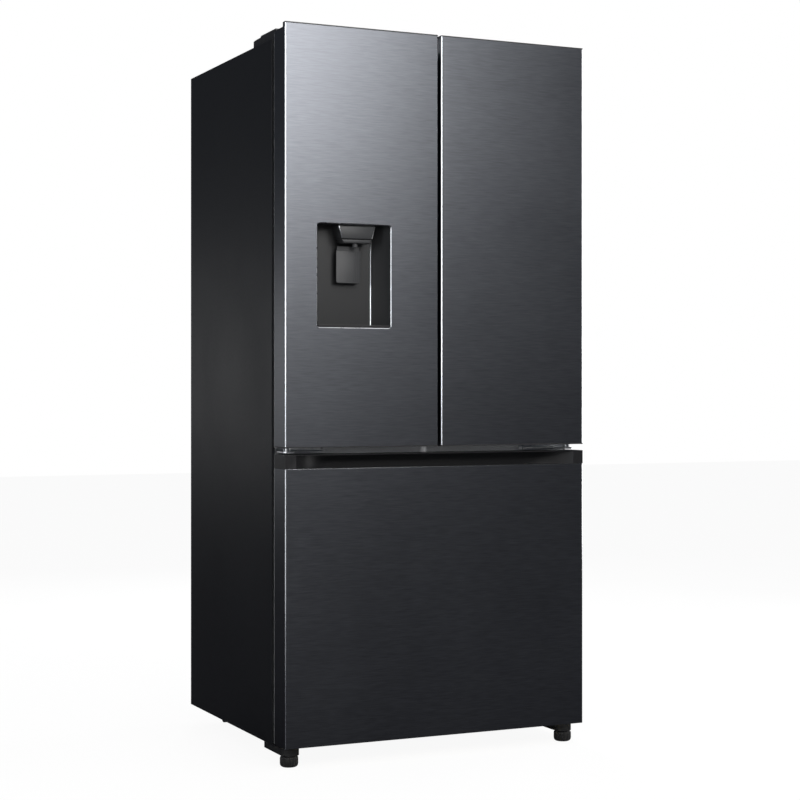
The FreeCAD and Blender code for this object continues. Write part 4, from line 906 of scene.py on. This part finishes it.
def make_feet():
    """Levelling feet: a fluted knob with a rounded sole on a threaded stud."""
    flutes = 16
    flute_depth = 1.5 * MM
    fluted_from = 21 * MM
    # radius and height in millimetres, from the sole up to the stud
    knob = (
        (13, 0),
        (16.5, 0.3),
        (19.5, 1.8),
        (21.4, 4.5),
        (22.3, 8.5),
        (22.3, 21),
        (21.4, 24),
        (18, 26),
        (9, 26.5),
        (4.9, 26.5),
    )
    crest, root = 4.9 * MM, 4.3 * MM
    thread_pitch = 1.25 * MM

    def wave(angle, radius):
        """The flutes in the knob's side."""
        return -flute_depth * max(0.0, math.cos(flutes * angle)) if radius > fluted_from else 0

    for node in ("front_foot_left", "front_foot_right"):
        low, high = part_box(node)
        centre = ((low.x + high.x) / 2, (low.y + high.y) / 2)
        profile = [(radius * MM, level * MM) for radius, level in knob]
        level = profile[-1][1]
        while level < high.z - thread_pitch:
            profile += [(crest, level + 0.2 * MM), (root, level + 0.6 * MM), (crest, level + 1.1 * MM)]
            level += thread_pitch
        profile.append((root, high.z))
        piece = lathe(f"{node}_knob", profile, centre, flutes * 8, wave)
        smooth(piece, 40)
        finish_mesh(piece, node)


def make_softened_nodes():
    """Nodes whose CAD shape is right: their edges are rounded by what the real piece has, in millimetres."""
    widths = {
        "outer_panels": 0.8,
        "back_panel": 0.4,
        "base_pan": 0.3,
        "divider_front": 0.3,
        "fridge_liner": 0.7,
        "freezer_liner": 0.7,
        "fridge_duct": 1.5,
        "ceiling_light": 2.0,
        "top_hinges": 0.5,
        "hinge_covers": 1.4,
        "floor_brackets": 1.6,
        "machine_cover": 0.8,
        "fan_bracket": 0.3,
        "evaporator_cover": 0.5,
        "freezer_outer_rails": 1.0,
        "freezer_middle_rails": 1.0,
        "drawer_frame": 0.8,
        "left_door_caps": 0.5,
        "right_door_caps": 0.5,
        "flip_mullion": 0.8,
        "shelf_frames": 1.5,
        "shelf_glass": 0.8,
        "power_gland": 0.6,
        "rear_rollers": 1.0,
        "water_tank": 2.0,
        "hinge_screws": 0.5,
    }
    for node, width in widths.items():
        piece = soften(node, width * MM)
        if node == "back_panel":
            smooth(piece, 12)  # its pressed ribs are shallow, so a wider angle would blur them
    soften("middle_hinges", 0.6 * MM, SATIN_CHROME)
    soften("drawer_handle_cap", 0.8 * MM, GRIP_PLASTIC)
    soften("dispenser_tray", 0.7 * MM, GRIP_PLASTIC)


def make_unrounded_nodes():
    """Nodes that are round already, and foam, whose edges stay as they are."""
    for node in (
        "compressor",
        "compressor_grommets",
        "condenser",
        "evaporator",
        "condenser_fan",
        "evaporator_fan",
        "insulation_foam",
        "left_door_foam",
        "right_door_foam",
        "drawer_foam",
    ):
        soften(node, 0)


make_camera()
make_lights()
make_floor()
make_steel_fronts()
make_inner_panels()
make_gaskets()
make_bins()
make_dispenser_rim()
make_alcove()
make_spout()
make_paddle()
make_feet()
make_softened_nodes()
make_unrounded_nodes()
